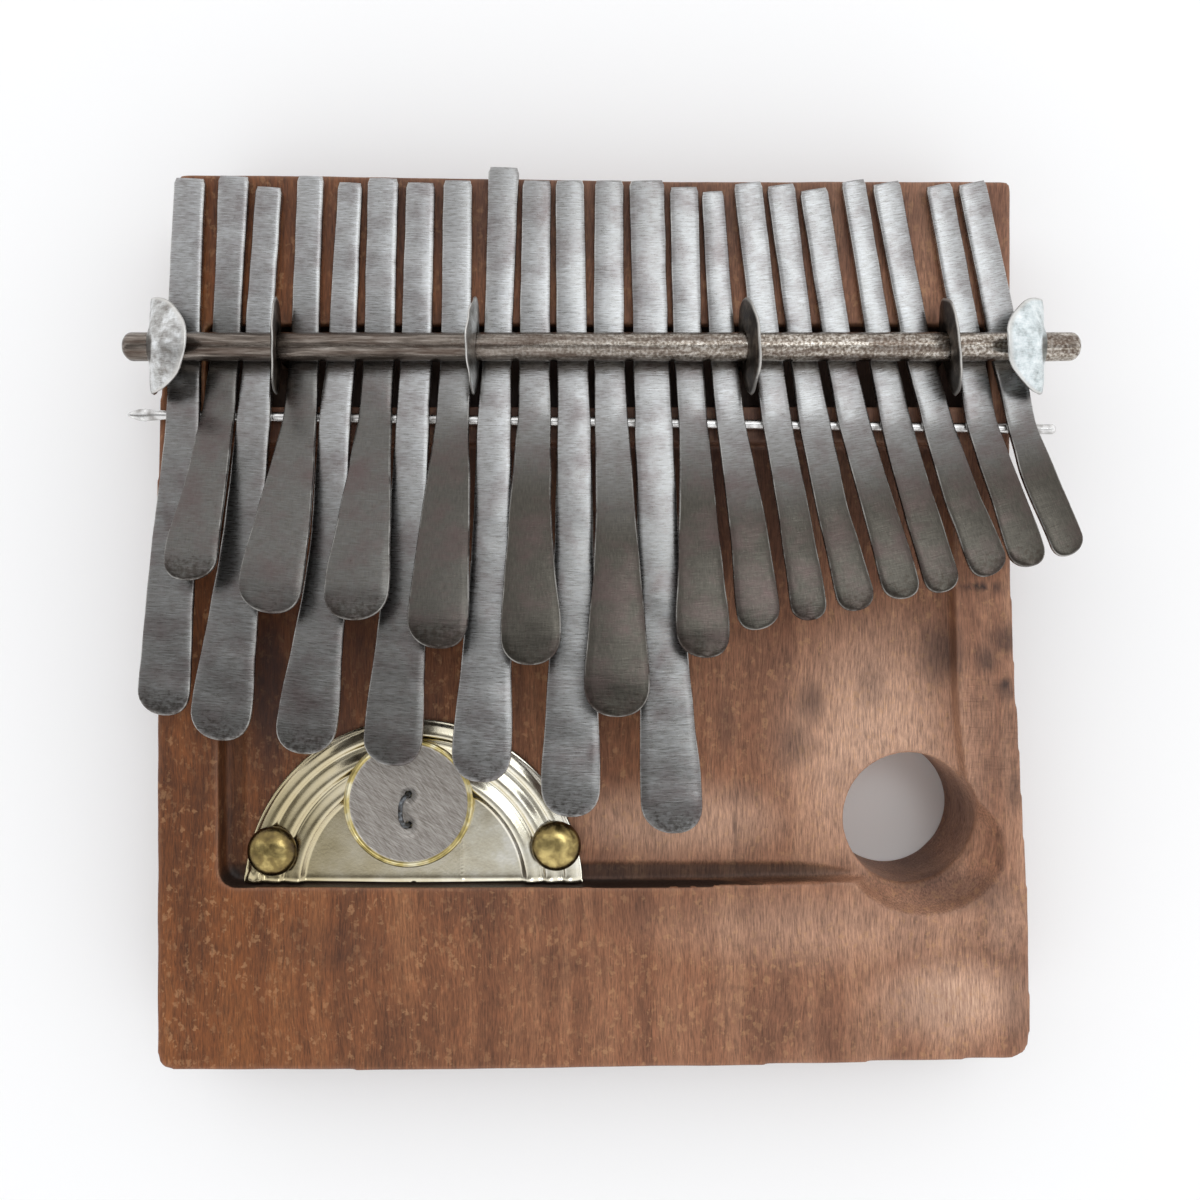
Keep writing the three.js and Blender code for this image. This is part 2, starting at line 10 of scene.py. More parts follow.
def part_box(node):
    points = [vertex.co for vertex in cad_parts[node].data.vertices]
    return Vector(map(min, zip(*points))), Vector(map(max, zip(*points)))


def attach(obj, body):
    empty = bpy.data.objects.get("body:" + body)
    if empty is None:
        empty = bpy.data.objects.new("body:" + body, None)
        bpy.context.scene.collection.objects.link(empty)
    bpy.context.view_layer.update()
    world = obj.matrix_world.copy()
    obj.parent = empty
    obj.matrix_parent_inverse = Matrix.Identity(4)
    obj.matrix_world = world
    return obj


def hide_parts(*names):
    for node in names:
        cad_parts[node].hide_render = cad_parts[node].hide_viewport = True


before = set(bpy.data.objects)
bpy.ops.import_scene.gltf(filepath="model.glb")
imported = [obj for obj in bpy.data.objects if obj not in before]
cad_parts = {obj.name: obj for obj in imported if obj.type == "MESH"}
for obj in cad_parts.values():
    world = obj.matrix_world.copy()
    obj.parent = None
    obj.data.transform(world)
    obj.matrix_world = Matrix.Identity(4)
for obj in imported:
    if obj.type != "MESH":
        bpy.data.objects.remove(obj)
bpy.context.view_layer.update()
MM = 0.001

# ---- Camera, floor and light ----
# The camera looks straight down from a little under 30 cm. One soft box hangs behind the keys, over
# a pale floor, in a pale studio with a dimmer band straight overhead.

camera_data = bpy.data.cameras.new("camera")
camera_data.lens = 34.5
camera_data.sensor_width = 36
camera = bpy.data.objects.new("camera", camera_data)
camera.location = (0.0014, 0.0055, 0.294)
bpy.context.scene.collection.objects.link(camera)
bpy.context.scene.camera = camera
bpy.context.scene.view_settings.view_transform = "Standard"


def to_linear(hex_colour):
    """An sRGB hex colour as the linear RGBA that Blender's sockets take."""
    channels = [int(hex_colour[i:i + 2], 16) / 255 for i in (1, 3, 5)]
    linear = [c / 12.92 if c <= 0.04045 else ((c + 0.055) / 1.055) ** 2.4 for c in channels]
    return (*linear, 1)


def add_node(tree, kind, inputs=None, stops=None, **settings):
    """Adds one node with its settings; an input takes a value, an output socket, or another node
    for that node's first output."""
    node = tree.nodes.new(kind)
    for name, value in settings.items():
        setattr(node, name, value)
    for name, value in (inputs or {}).items():
        if isinstance(value, bpy.types.Node):
            value = value.outputs[0]
        if isinstance(value, bpy.types.NodeSocket):
            tree.links.new(value, node.inputs[name])
        else:
            node.inputs[name].default_value = value
    if stops:
        ramp = node.color_ramp
        while len(ramp.elements) < len(stops):
            ramp.elements.new(0.5)
        for element, (position, colour) in zip(ramp.elements, stops):
            element.position = position
            element.color = to_linear(colour)
    return node


def new_material(name):
    """A material and its shader tree, in which a Principled shader is joined to the output."""
    material = bpy.data.materials.new(name)
    material.use_nodes = True
    return material, material.node_tree


soft_box = bpy.data.lights.new("soft_box", "AREA")
soft_box.shape = "RECTANGLE"
soft_box.size = 0.6
soft_box.size_y = 0.34
soft_box.energy = 1.7
soft_box.color = (0.93, 0.97, 1.0)
soft_box_object = bpy.data.objects.new("soft_box", soft_box)
soft_box_object.location = (0.27, 0.3, 1.2)
aim = Vector((0, 0, 0)) - soft_box_object.location
soft_box_object.rotation_euler = aim.to_track_quat("-Z", "Y").to_euler()
bpy.context.scene.collection.objects.link(soft_box_object)

studio = bpy.data.worlds.new("studio")
studio.use_nodes = True
bpy.context.scene.world = studio
sky = studio.node_tree
direction = add_node(sky, "ShaderNodeTexCoord").outputs["Generated"]
parts = add_node(sky, "ShaderNodeSeparateXYZ", {"Vector": direction})
offset = add_node(sky, "ShaderNodeMath", {0: parts.outputs["Y"], 1: 0.05}, operation="ADD")
band = add_node(sky, "ShaderNodeMath", {0: offset}, operation="ABSOLUTE")
rightward = add_node(sky, "ShaderNodeMath", {0: parts.outputs["X"], 1: 0.12, 2: band},
                     operation="MULTIPLY_ADD")
lowness = add_node(sky, "ShaderNodeMath", {0: parts.outputs["Z"], 1: -0.4, 2: 0.4},
                   operation="MULTIPLY_ADD")
away = add_node(sky, "ShaderNodeMath", {0: rightward, 1: lowness})
dome = add_node(sky, "ShaderNodeValToRGB", {"Fac": away},
                stops=[(0.04, "#5b5855"), (0.12, "#8d8c8a"), (0.19, "#cfd0d3"), (0.45, "#fbfbfd")])
sky.links.new(dome.outputs["Color"], sky.nodes["Background"].inputs["Color"])
sky.nodes["Background"].inputs["Strength"].default_value = 1.2

floor_mesh = bpy.data.meshes.new("floor")
floor_mesh.from_pydata([(-3, -3, -0.0002), (3, -3, -0.0002), (3, 3, -0.0002), (-3, 3, -0.0002)],
                       [], [(0, 1, 2, 3)])
floor = bpy.data.objects.new("floor", floor_mesh)
floor_paint, tree = new_material("matt_white_table")
floor_shader = tree.nodes["Principled BSDF"]
floor_shader.inputs["Base Color"].default_value = to_linear("#fafaf9")
floor_shader.inputs["Roughness"].default_value = 0.8
floor_mesh.materials.append(floor_paint)
bpy.context.scene.collection.objects.link(floor)

# ---- Soundboard ----
# One block of mubvamaropa wood, sawn and carved by hand: a sunk playing area, a cross groove, a
# finger hole with a scooped rest. Wall feet are scorched, and handled corners are worn pale.
# Painted shade darkens the wall feet, walls, corner, groove, hole, outer sides and the floor under
# the keys, and pale patches carry a painted sheen on the right.



def box_in_mm(node):
    """A CAD node's lowest and highest corners in millimetres."""
    return [np.array(corner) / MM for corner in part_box(node)]


board_low, board_high = box_in_mm("soundboard")
board_front = board_high[2]
recess_left = board_low[0] + 13.9
recess_foot = board_low[1] + 41.2
recess_floor = board_front - 5
hole_x = board_high[0] - 26.5
hole_y = board_low[1] + 56.2
hole_radius = 15.3
gutter_width = 5.0
gutter_depth = 0.6


def merged_copy(node):
    """A CAD node's mesh as a mesh of its own, its loose triangles joined."""
    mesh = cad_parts[node].data.copy()
    shape = bmesh.new()
    shape.from_mesh(mesh)
    bmesh.ops.remove_doubles(shape, verts=shape.verts, dist=1e-6)
    shape.to_mesh(mesh)
    shape.free()
    mesh.materials.clear()
    return mesh


def add_object(name, mesh, *materials):
    """Links an object for a mesh, smooth-shaded, with its materials."""
    piece = bpy.data.objects.new(name, mesh)
    bpy.context.scene.collection.objects.link(piece)
    mesh.shade_smooth()
    for material in materials:
        mesh.materials.append(material)
    return piece


def points_of(mesh):
    """A mesh's vertices as an array in millimetres."""
    flat = np.empty(len(mesh.vertices) * 3)
    mesh.vertices.foreach_get("co", flat)
    return flat.reshape(-1, 3) / MM


def set_points(mesh, points):
    mesh.vertices.foreach_set("co", (points * MM).ravel())
    mesh.update()


def bake_modifiers(piece):
    """Replaces a piece's mesh by what its modifiers make of it, and removes them."""
    evaluated = piece.evaluated_get(bpy.context.evaluated_depsgraph_get())
    piece.data = bpy.data.meshes.new_from_object(evaluated)
    piece.modifiers.clear()


def relax(mesh, points, rounds):
    """Moves each vertex half way to the middle of its neighbours, a number of times."""
    edges = np.empty(len(mesh.edges) * 2, int)
    mesh.edges.foreach_get("vertices", edges)
    one, other = edges[0::2], edges[1::2]
    ends = np.concatenate([one, other])
    count = np.bincount(ends, minlength=len(points))[:, None]
    for _ in range(rounds):
        total = [np.bincount(ends, np.concatenate([points[other, k], points[one, k]]),
                             minlength=len(points)) for k in range(3)]
        points = 0.5 * points + 0.5 * np.stack(total, 1) / count
    return points


def lumps(points, size, seed):
    """Smooth noise from -1 to 1 at each point; size is the lumps' size in mm along X, Y and Z."""
    scaled = points / np.array(size) + seed * 17.3
    return np.array([noise.noise(Vector(p)) for p in scaled])


def step(low, high, value):
    """0 below low, 1 above high, and a smooth rise between them."""
    share = np.clip((value - low) / (high - low), 0, 1)
    return share * share * (3 - 2 * share)


def near_wall_foot(points):
    """0 to 1 for the gutter at the foot of the recess's left wall and foot wall, which is sunk and
    darkened by scorch and painted shade.
    """
    x, y, z = points.T
    from_left = np.abs(x - recess_left - gutter_width / 2) / (gutter_width / 2)
    from_foot = np.abs(y - recess_foot - gutter_width / 2) / (gutter_width / 2)
    towards_hole = 1 - step(46, 66, x)
    left = (1 - step(0.5, 1.25, from_left)) * (y > recess_foot - 1)
    width = np.maximum(towards_hole, 0.25)
    foot = (1 - step(0.5, 1.25, from_foot / width)) * (x > recess_left - 1) * (x < 60)
    return np.maximum(0.6 * left, foot * (0.3 + 0.7 * towards_hole))


board = add_object("soundboard_carved", merged_copy("soundboard"))
voxels = board.modifiers.new("voxels", "REMESH")
voxels.mode = "VOXEL"
voxels.voxel_size = 0.6 * MM
bake_modifiers(board)
wood = points_of(board.data)
by_back = 1 - step(2, 5, wood[:, 2:])
wood = relax(board.data, wood, 3)
wood = wood * (1 - by_back) + relax(board.data, wood, 14) * by_back
front_share = step(8, 20, wood[:, 2])
wood[:, 2] += front_share * 0.16 * lumps(wood, (26, 34, 26), 1)
wood[:, 2] += front_share * 0.05 * lumps(wood, (4, 9, 6), 2)
side_share = step(1.5, 4, wood[:, 2])
wood[:, 0] += side_share * 0.2 * lumps(wood, (40, 9, 14), 3)
wood[:, 1] += side_share * 0.14 * lumps(wood, (11, 40, 14), 4)
leftness = 1 - step(-100, 40, wood[:, 0])
wood[:, 1] += leftness * (1.5 * step(88, 101, wood[:, 1]) - 1.6 * (1 - step(-101, -80, wood[:, 1])))
on_floor = step(20, 23, wood[:, 2]) * (1 - step(recess_floor + 0.3, recess_floor + 2, wood[:, 2]))
wood[:, 2] -= gutter_depth * near_wall_foot(wood) * on_floor
set_points(board.data, wood)
triangles = sum(len(p.vertices) - 2 for p in board.data.polygons)
thin = board.modifiers.new("thin", "DECIMATE")
thin.ratio = min(1, 190000 / triangles)
bake_modifiers(board)


def store(mesh, name, values):
    """Keeps one number for each vertex, for the materials to read."""
    attribute = mesh.attributes.new(name, "FLOAT", "POINT")
    attribute.data.foreach_set("value", np.asarray(values, np.float32))


def normals_of(mesh):
    normals = np.empty(len(mesh.vertices) * 3)
    mesh.vertices.foreach_get("normal", normals)
    return normals.reshape(-1, 3)


def edge_wear(mesh, points, rounds, full_depth):
    """0 to 1 for how far a vertex stands out from its surroundings, as a rubbed edge does."""
    stands_out = ((points - relax(mesh, points, rounds)) * normals_of(mesh)).sum(1)
    return np.clip(stands_out / full_depth, 0, 1)


wood = points_of(board.data)
x, y, z = wood.T
inside_x = (x > recess_left - 1.2) & (x < 92)
# Painted shade: the recess walls, its corner, the cross groove and the lower right of the finger hole
# are darkened where shade falls. The gutter at the wall feet is darkened as scorch and painted shade.
wall_foot = near_wall_foot(wood) * step(18, 22, z) * (1 - step(27.5, 29.9, z))
on_wall = (z > recess_floor - 5) * (z < board_front - 0.4)
foot_wall = (1 - step(0.5, 1.2, np.abs(y - recess_foot))) * inside_x * on_wall
foot_wall *= 1 - step(44, 62, x)
# Painted shade in the recess's lower left corner.
corner_shade = np.exp(-((x - recess_left - 2) ** 2 + (y - recess_foot - 1.5) ** 2) / 16) * (z < 29.8)
left_wall = (1 - step(0.5, 1.2, np.abs(x - recess_left))) * (y > recess_foot) * on_wall
# Painted shade in the cross groove.
groove_shade = ((z < 28) & (z > 15) & (y > 45) & (y < 75) & (np.abs(x) < 94)) * 0.8
from_hole = np.hypot(x - hole_x, y - hole_y)
hole_shade = (from_hole < hole_radius + 1.5) * step(-8, 16, (x - hole_x) - (y - hole_y)) * 0.36
scorch_and_shade = np.maximum.reduce([wall_foot * 0.72, foot_wall, left_wall * 0.45, groove_shade, corner_shade,
                            hole_shade * (1 - step(22, 28, z))])
store(board.data, "scorch_and_shade", scorch_and_shade)
store(board.data, "wear", edge_wear(board.data, wood, 5, 0.3))



def strongest_patch(x, y, patches, inside, outside):
    """The strongest of some soft oval patches at each point, each fading from inside to outside."""
    strongest = 0.0
    for middle_x, middle_y, half_width, half_length, strength in patches:
        away = np.hypot((x - middle_x) / half_width, (y - middle_y) / half_length)
        strongest = np.maximum(strongest, strength * (1 - step(inside, outside, away)))
    return strongest


# Purple-brown handling stains together with painted shade under and between the keys, then pale
# patches of lighter wood with a painted sheen: middle X and Y, half width and half length in mm, and
# strength.
stain_and_shade_patches = [
    (94.5, -3.5, 4.0, 4.0, 1.4), (90.0, -8.0, 3.4, 4.4, 1.2), (94.5, -15.0, 2.2, 3.4, 1.6),
    (96.5, -38.0, 2.0, 7.0, 1.0), (80.5, -7.0, 5.5, 8.0, 1.2), (50.5, -18.5, 4.0, 6.0, 0.9),
    (47.5, -28.0, 4.5, 6.0, 0.8), (65.0, -14.0, 3.5, 6.0, 0.6), (31.0, -24.0, 2.5, 8.0, 0.6),
    (89.3, 8.6, 5.5, 0.9, 1.8), (33.0, -46.0, 0.8, 12.0, 0.9),
    (34.0, -40.0, 4.5, 3.0, 0.3), (96.0, 30.0, 3.0, 12.0, 0.4), (75.0, -88.0, 14.0, 8.0, 0.35),
    (97.0, -85.0, 4.0, 14.0, 0.6), (-10.0, -78.0, 10.0, 5.0, 0.2), (-60.0, -74.0, 22.0, 5.0, 0.3),
    (-76.0, -16.0, 7.0, 22.0, 1.4), (-60.0, -24.0, 6.0, 16.0, 0.8), (-40.0, -24.0, 5.0, 16.0, 0.6),
    (85.0, -62.0, 12.0, 5.0, 0.8), (93.0, -26.0, 7.0, 26.0, 0.42), (10.0, -66.0, 60.0, 5.0, 0.3),
    # The broad patches over the key area and on the left of the floor are painted shade under and
    # between the keys.
    (0.0, 40.0, 110.0, 30.0, 1.0), (0.0, 94.0, 110.0, 16.0, 0.9), (-60.0, 0.0, 24.0, 30.0, 0.7),
]
# Painted sheen: the pale patches, strongest at the right of the foot, are partly lighter wood and
# partly a painted sheen of the light from the right.
pale_and_sheen_patches = [
    (83, -86, 18, 10, 0.75), (55, -70, 40, 9, 0.35), (66, -30, 22, 30, 0.7), (20, -46, 26, 9, 0.6),
    (60, -50, 10, 8, 0.35), (94, -68, 6, 10, 0.4)]
# Painted shade: the outer sides of the board are darkened where they turn away from the light.
outer_side = np.maximum(np.abs(x), np.abs(y)) > 93
shaded_side = 0.9 * outer_side * (1 - step(0.35, 0.95, normals_of(board.data)[:, 2]))
store(board.data, "stain_and_shade", np.maximum(shaded_side, strongest_patch(x, y, stain_and_shade_patches, 0.3, 1.3)))
store(board.data, "pale", strongest_patch(x, y, pale_and_sheen_patches, 0.2, 1.4))
store(board.data, "rasped", step(83, 86, x) * step(-42, -37, y) * (1 - step(-14, -8, y)))


def finish(tree, colour, roughness, bump, metallic=1.0):
    """Gives a material's shader its colour and bump, and its roughness as a number or a node."""
    inputs = tree.nodes["Principled BSDF"].inputs
    tree.links.new(colour.outputs[0], inputs["Base Color"])
    tree.links.new(bump.outputs["Normal"], inputs["Normal"])
    inputs["Metallic"].default_value = metallic
    if isinstance(roughness, float):
        inputs["Roughness"].default_value = roughness
    else:
        tree.links.new(roughness.outputs[0], inputs["Roughness"])


def place_in_mm(tree, origin=(0, 0, 0)):
    """The place on the piece in millimetres, counted from an origin, for patterns to read."""
    place = add_node(tree, "ShaderNodeTexCoord").outputs["Object"]
    return add_node(tree, "ShaderNodeMapping", {
        "Vector": place, "Scale": (1000, 1000, 1000), "Location": [-value for value in origin]})


# Oiled mubvamaropa: reddish brown, satin, with fine open pores along the grain and dense pale
# flecks. Grain streaks are 0.3 mm wide and about 4 mm long; flecks are 1 to 2 mm.
hardwood, tree = new_material("oiled_mubvamaropa")
mm_place = place_in_mm(tree)
wander = add_node(tree, "ShaderNodeTexNoise", {"Vector": mm_place, "Scale": 0.02, "Detail": 2})
bent = add_node(tree, "ShaderNodeVectorMath", {0: wander.outputs["Color"], 1: (6, 0, 6)},
                operation="MULTIPLY")
grain_place = add_node(tree, "ShaderNodeVectorMath", {0: mm_place, 1: bent}).outputs[0]
fibre_place = add_node(tree, "ShaderNodeMapping", {"Vector": grain_place, "Scale": (3.0, 0.26, 3.0)})
fibres = add_node(tree, "ShaderNodeTexNoise", {
    "Vector": fibre_place, "Scale": 1.0, "Detail": 5, "Roughness": 0.7})
band_place = add_node(tree, "ShaderNodeMapping", {"Vector": grain_place, "Scale": (0.16, 0.012, 0.16)})
bands = add_node(tree, "ShaderNodeTexNoise", {
    "Vector": band_place, "Scale": 1.0, "Detail": 3, "Roughness": 0.55})
blotches = add_node(tree, "ShaderNodeTexNoise", {
    "Vector": mm_place, "Scale": 0.035, "Detail": 6, "Roughness": 0.7})
side = add_node(tree, "ShaderNodeSeparateXYZ", {"Vector": mm_place})
# Lighter towards the right: partly the wood's own paler tone and partly painted light falling from the
# right.
across = add_node(tree, "ShaderNodeMapRange", {
    "Value": side.outputs["X"], "From Min": -80, "From Max": 110})
left_tone = add_node(tree, "ShaderNodeValToRGB", {"Fac": bands},
                     stops=[(0.25, "#542e13"), (0.5, "#734320"), (0.75, "#87552d")])
right_tone = add_node(tree, "ShaderNodeValToRGB", {"Fac": bands},
                      stops=[(0.25, "#7b5440"), (0.5, "#946b54"), (0.75, "#aa836b")])
tone = add_node(tree, "ShaderNodeMixRGB", {
    "Fac": across, "Color1": left_tone, "Color2": right_tone})
# The pale patches mix in lighter wood and a painted sheen.
pale_and_sheen_share = add_node(tree, "ShaderNodeAttribute", attribute_name="pale").outputs["Fac"]
paled_and_sheened = add_node(tree, "ShaderNodeMixRGB", {
    "Fac": pale_and_sheen_share, "Color1": tone, "Color2": to_linear("#cfab93")})
fibre_tone = add_node(tree, "ShaderNodeValToRGB", {"Fac": fibres},
                      stops=[(0.34, "#645f5c"), (0.5, "#bcb8b5"), (0.66, "#f2ece7")])
grained = add_node(tree, "ShaderNodeMixRGB", {"Fac": 0.6, "Color1": paled_and_sheened, "Color2": fibre_tone},
                   blend_type="OVERLAY")
blotch_tone = add_node(tree, "ShaderNodeValToRGB", {"Fac": blotches},
                       stops=[(0.3, "#a49c9a"), (0.5, "#ffffff"), (0.8, "#fff4e8")])
blotched = add_node(tree, "ShaderNodeMixRGB", {
    "Fac": 0.6, "Color1": grained, "Color2": blotch_tone}, blend_type="MULTIPLY")
ragged = add_node(tree, "ShaderNodeTexNoise", {"Vector": mm_place, "Scale": 0.9, "Detail": 3})
ragged_place = add_node(tree, "ShaderNodeVectorMath", {
    0: ragged.outputs["Color"], 1: (3, 3, 3), 2: mm_place}, operation="MULTIPLY_ADD")
fleck_place = add_node(tree, "ShaderNodeMapping", {
    "Vector": ragged_place, "Scale": (0.7, 0.45, 0.7)})
flecks = add_node(tree, "ShaderNodeTexVoronoi", {"Vector": fleck_place, "Scale": 1.0})
fleck_edge = add_node(tree, "ShaderNodeMapRange", {
    "Value": flecks, "From Min": 0.52, "From Max": 0.26})
fleck_pick = add_node(tree, "ShaderNodeSeparateColor", {"Color": flecks.outputs["Color"]})
patches = add_node(tree, "ShaderNodeTexNoise", {"Vector": mm_place, "Scale": 0.06, "Detail": 3})
fleck_mask = add_node(tree, "ShaderNodeMath", {0: fleck_pick.outputs["Red"], 1: patches},
                      operation="MULTIPLY")
fleck_amount = add_node(tree, "ShaderNodeMapRange", {
    "Value": fleck_mask, "From Min": 0.16, "From Max": 0.5, "To Max": 0.34})
fleck_share = add_node(tree, "ShaderNodeMath", {0: fleck_edge, 1: fleck_amount},
                       operation="MULTIPLY")
flecked = add_node(tree, "ShaderNodeMixRGB", {
    "Fac": fleck_share, "Color1": blotched, "Color2": to_linear("#c39569")})
rubbed = add_node(tree, "ShaderNodeAttribute", attribute_name="wear")
rubbed_share = add_node(tree, "ShaderNodeMath", {0: rubbed.outputs["Fac"], 1: 0.4},
                        operation="MULTIPLY")
worn_wood = add_node(tree, "ShaderNodeMixRGB", {
    "Fac": rubbed_share, "Color1": flecked, "Color2": to_linear("#b48c74")})
# Stains and painted shade darken the wood towards purple-brown.
stain_and_shade = add_node(tree, "ShaderNodeAttribute", attribute_name="stain_and_shade")
stain_and_shade_share = add_node(tree, "ShaderNodeMath", {0: stain_and_shade.outputs["Fac"], 1: blotches},
                       operation="MULTIPLY")
stained_and_shaded_wood = add_node(tree, "ShaderNodeMixRGB", {
    "Fac": stain_and_shade_share, "Color1": worn_wood, "Color2": to_linear("#241a1c")})
# Scorch and painted shade darken the wood towards near black.
scorch_and_shade_read = add_node(tree, "ShaderNodeAttribute", attribute_name="scorch_and_shade")
scorch_and_shade_edge = add_node(tree, "ShaderNodeMapRange", {
    "Value": scorch_and_shade_read.outputs["Fac"], "From Min": 0.06, "From Max": 0.94})
scorch_and_shade_tone = add_node(tree, "ShaderNodeMixRGB", {
    "Fac": fibres, "Color1": to_linear("#0d0706"), "Color2": to_linear("#3c2b21")})
wood_colour = add_node(tree, "ShaderNodeMixRGB", {
    "Fac": scorch_and_shade_edge, "Color1": stained_and_shaded_wood, "Color2": scorch_and_shade_tone})
wood_gloss = add_node(tree, "ShaderNodeMapRange", {
    "Value": fibres, "From Min": 0.3, "From Max": 0.7, "To Min": 0.65, "To Max": 0.42})
pores = add_node(tree, "ShaderNodeBump", {"Height": fibres, "Strength": 0.6, "Distance": 0.12 * MM})
rasp_place = add_node(tree, "ShaderNodeMapping", {"Vector": mm_place, "Scale": (0.1, 1.9, 1.0)})
rasp = add_node(tree, "ShaderNodeTexNoise", {"Vector": rasp_place, "Scale": 1.0, "Detail": 2})
rasp_share = add_node(tree, "ShaderNodeAttribute", attribute_name="rasped").outputs["Fac"]
rasped = add_node(tree, "ShaderNodeMath", {0: rasp, 1: rasp_share}, operation="MULTIPLY")
rasp_marks = add_node(tree, "ShaderNodeBump", {
    "Height": rasped, "Strength": 0.9, "Distance": 0.6 * MM, "Normal": pores})
finish(tree, wood_colour, wood_gloss, rasp_marks, metallic=0.0)
wood_shader = tree.nodes["Principled BSDF"]
wood_shader.inputs["IOR"].default_value = 1.5
wood_shader.inputs["Specular IOR Level"].default_value = 0.34
board.data.materials.append(hardwood)
board.data.shade_smooth()
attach(board, "instrument")
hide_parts("soundboard")

# ---- Keys ----
# 22 keys, each hammered flat from round mild-steel wire, widened and thinned towards the tip, filed
# crosswise and rubbed bright along its edges, with painted glints on the edges and painted shade on
# the tips. The bar pins them down on the bridge rod.

key_thickness = 1.7
key_tip_thickness = 1.15
key_edge_radius = 0.36
key_step = 0.9
tip_squareness = 2.25
bar_low, bar_high = box_in_mm("pressure_bar")
bar_y = (bar_low[1] + bar_high[1]) / 2
bar_z = (bar_low[2] + bar_high[2]) / 2
bar_clearance = 0.2


def key_rings(node):
    """Left and right top edge points of a CAD key, ring by ring from its back end to its tip."""
    shape = bmesh.new()
    shape.from_mesh(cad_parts[node].data)
    bmesh.ops.remove_doubles(shape, verts=shape.verts, dist=1e-6)
    shape.normal_update()
    rim = [e for e in shape.edges if sum(f.normal.z > 0.5 for f in e.link_faces) == 1]
    neighbours = {}
    for edge in rim:
        one, other = edge.verts
        neighbours.setdefault(one, []).append(other)
        neighbours.setdefault(other, []).append(one)
    crosswise = [e for e in rim if abs((e.verts[0].co - e.verts[1].co).x) > 0.85 * e.calc_length()]
    back = max(crosswise, key=lambda e: e.verts[0].co.y + e.verts[1].co.y)
    right, left = sorted(back.verts, key=lambda v: -v.co.x)
    chain = [right, left]
    while len(chain) < len(neighbours):
        chain.append(next(v for v in neighbours[chain[-1]] if v is not chain[-2]))
    places = np.array([v.co for v in chain]) / MM
    shape.free()
    half = len(places) // 2
    return places[1:half + 1], np.concatenate([places[:1], places[:half:-1]])


def curve_through(knots, values, at):
    """A smooth line through values at knots, read at other places, column by column."""
    slopes = np.gradient(values, knots, axis=0)
    index = np.clip(np.searchsorted(knots, at) - 1, 0, len(knots) - 2)
    span = (knots[index + 1] - knots[index])[:, None]
    t = (at[:, None] - knots[index][:, None]) / span
    return ((2 * t**3 - 3 * t**2 + 1) * values[index] + (t**3 - 2 * t**2 + t) * span * slopes[index]
            + (3 * t**2 - 2 * t**3) * values[index + 1] + (t**3 - t**2) * span * slopes[index + 1])


def key_spine(node):
    """Middle line and width of a key's top face, from the back end to where the tip rounds."""
    left, right = key_rings(node)
    middle = (left + right) / 2
    width = np.linalg.norm(right - left, axis=1)
    width[0] = width[1]
    places = np.column_stack([middle, width])[[0, 2, 3, 4, 5, 6, 7, 8, 9, 10, 11, 12]]
    gaps = np.linalg.norm(np.diff(places[:, :3], axis=0), axis=1)
    return np.concatenate([[0], np.cumsum(gaps)]), places


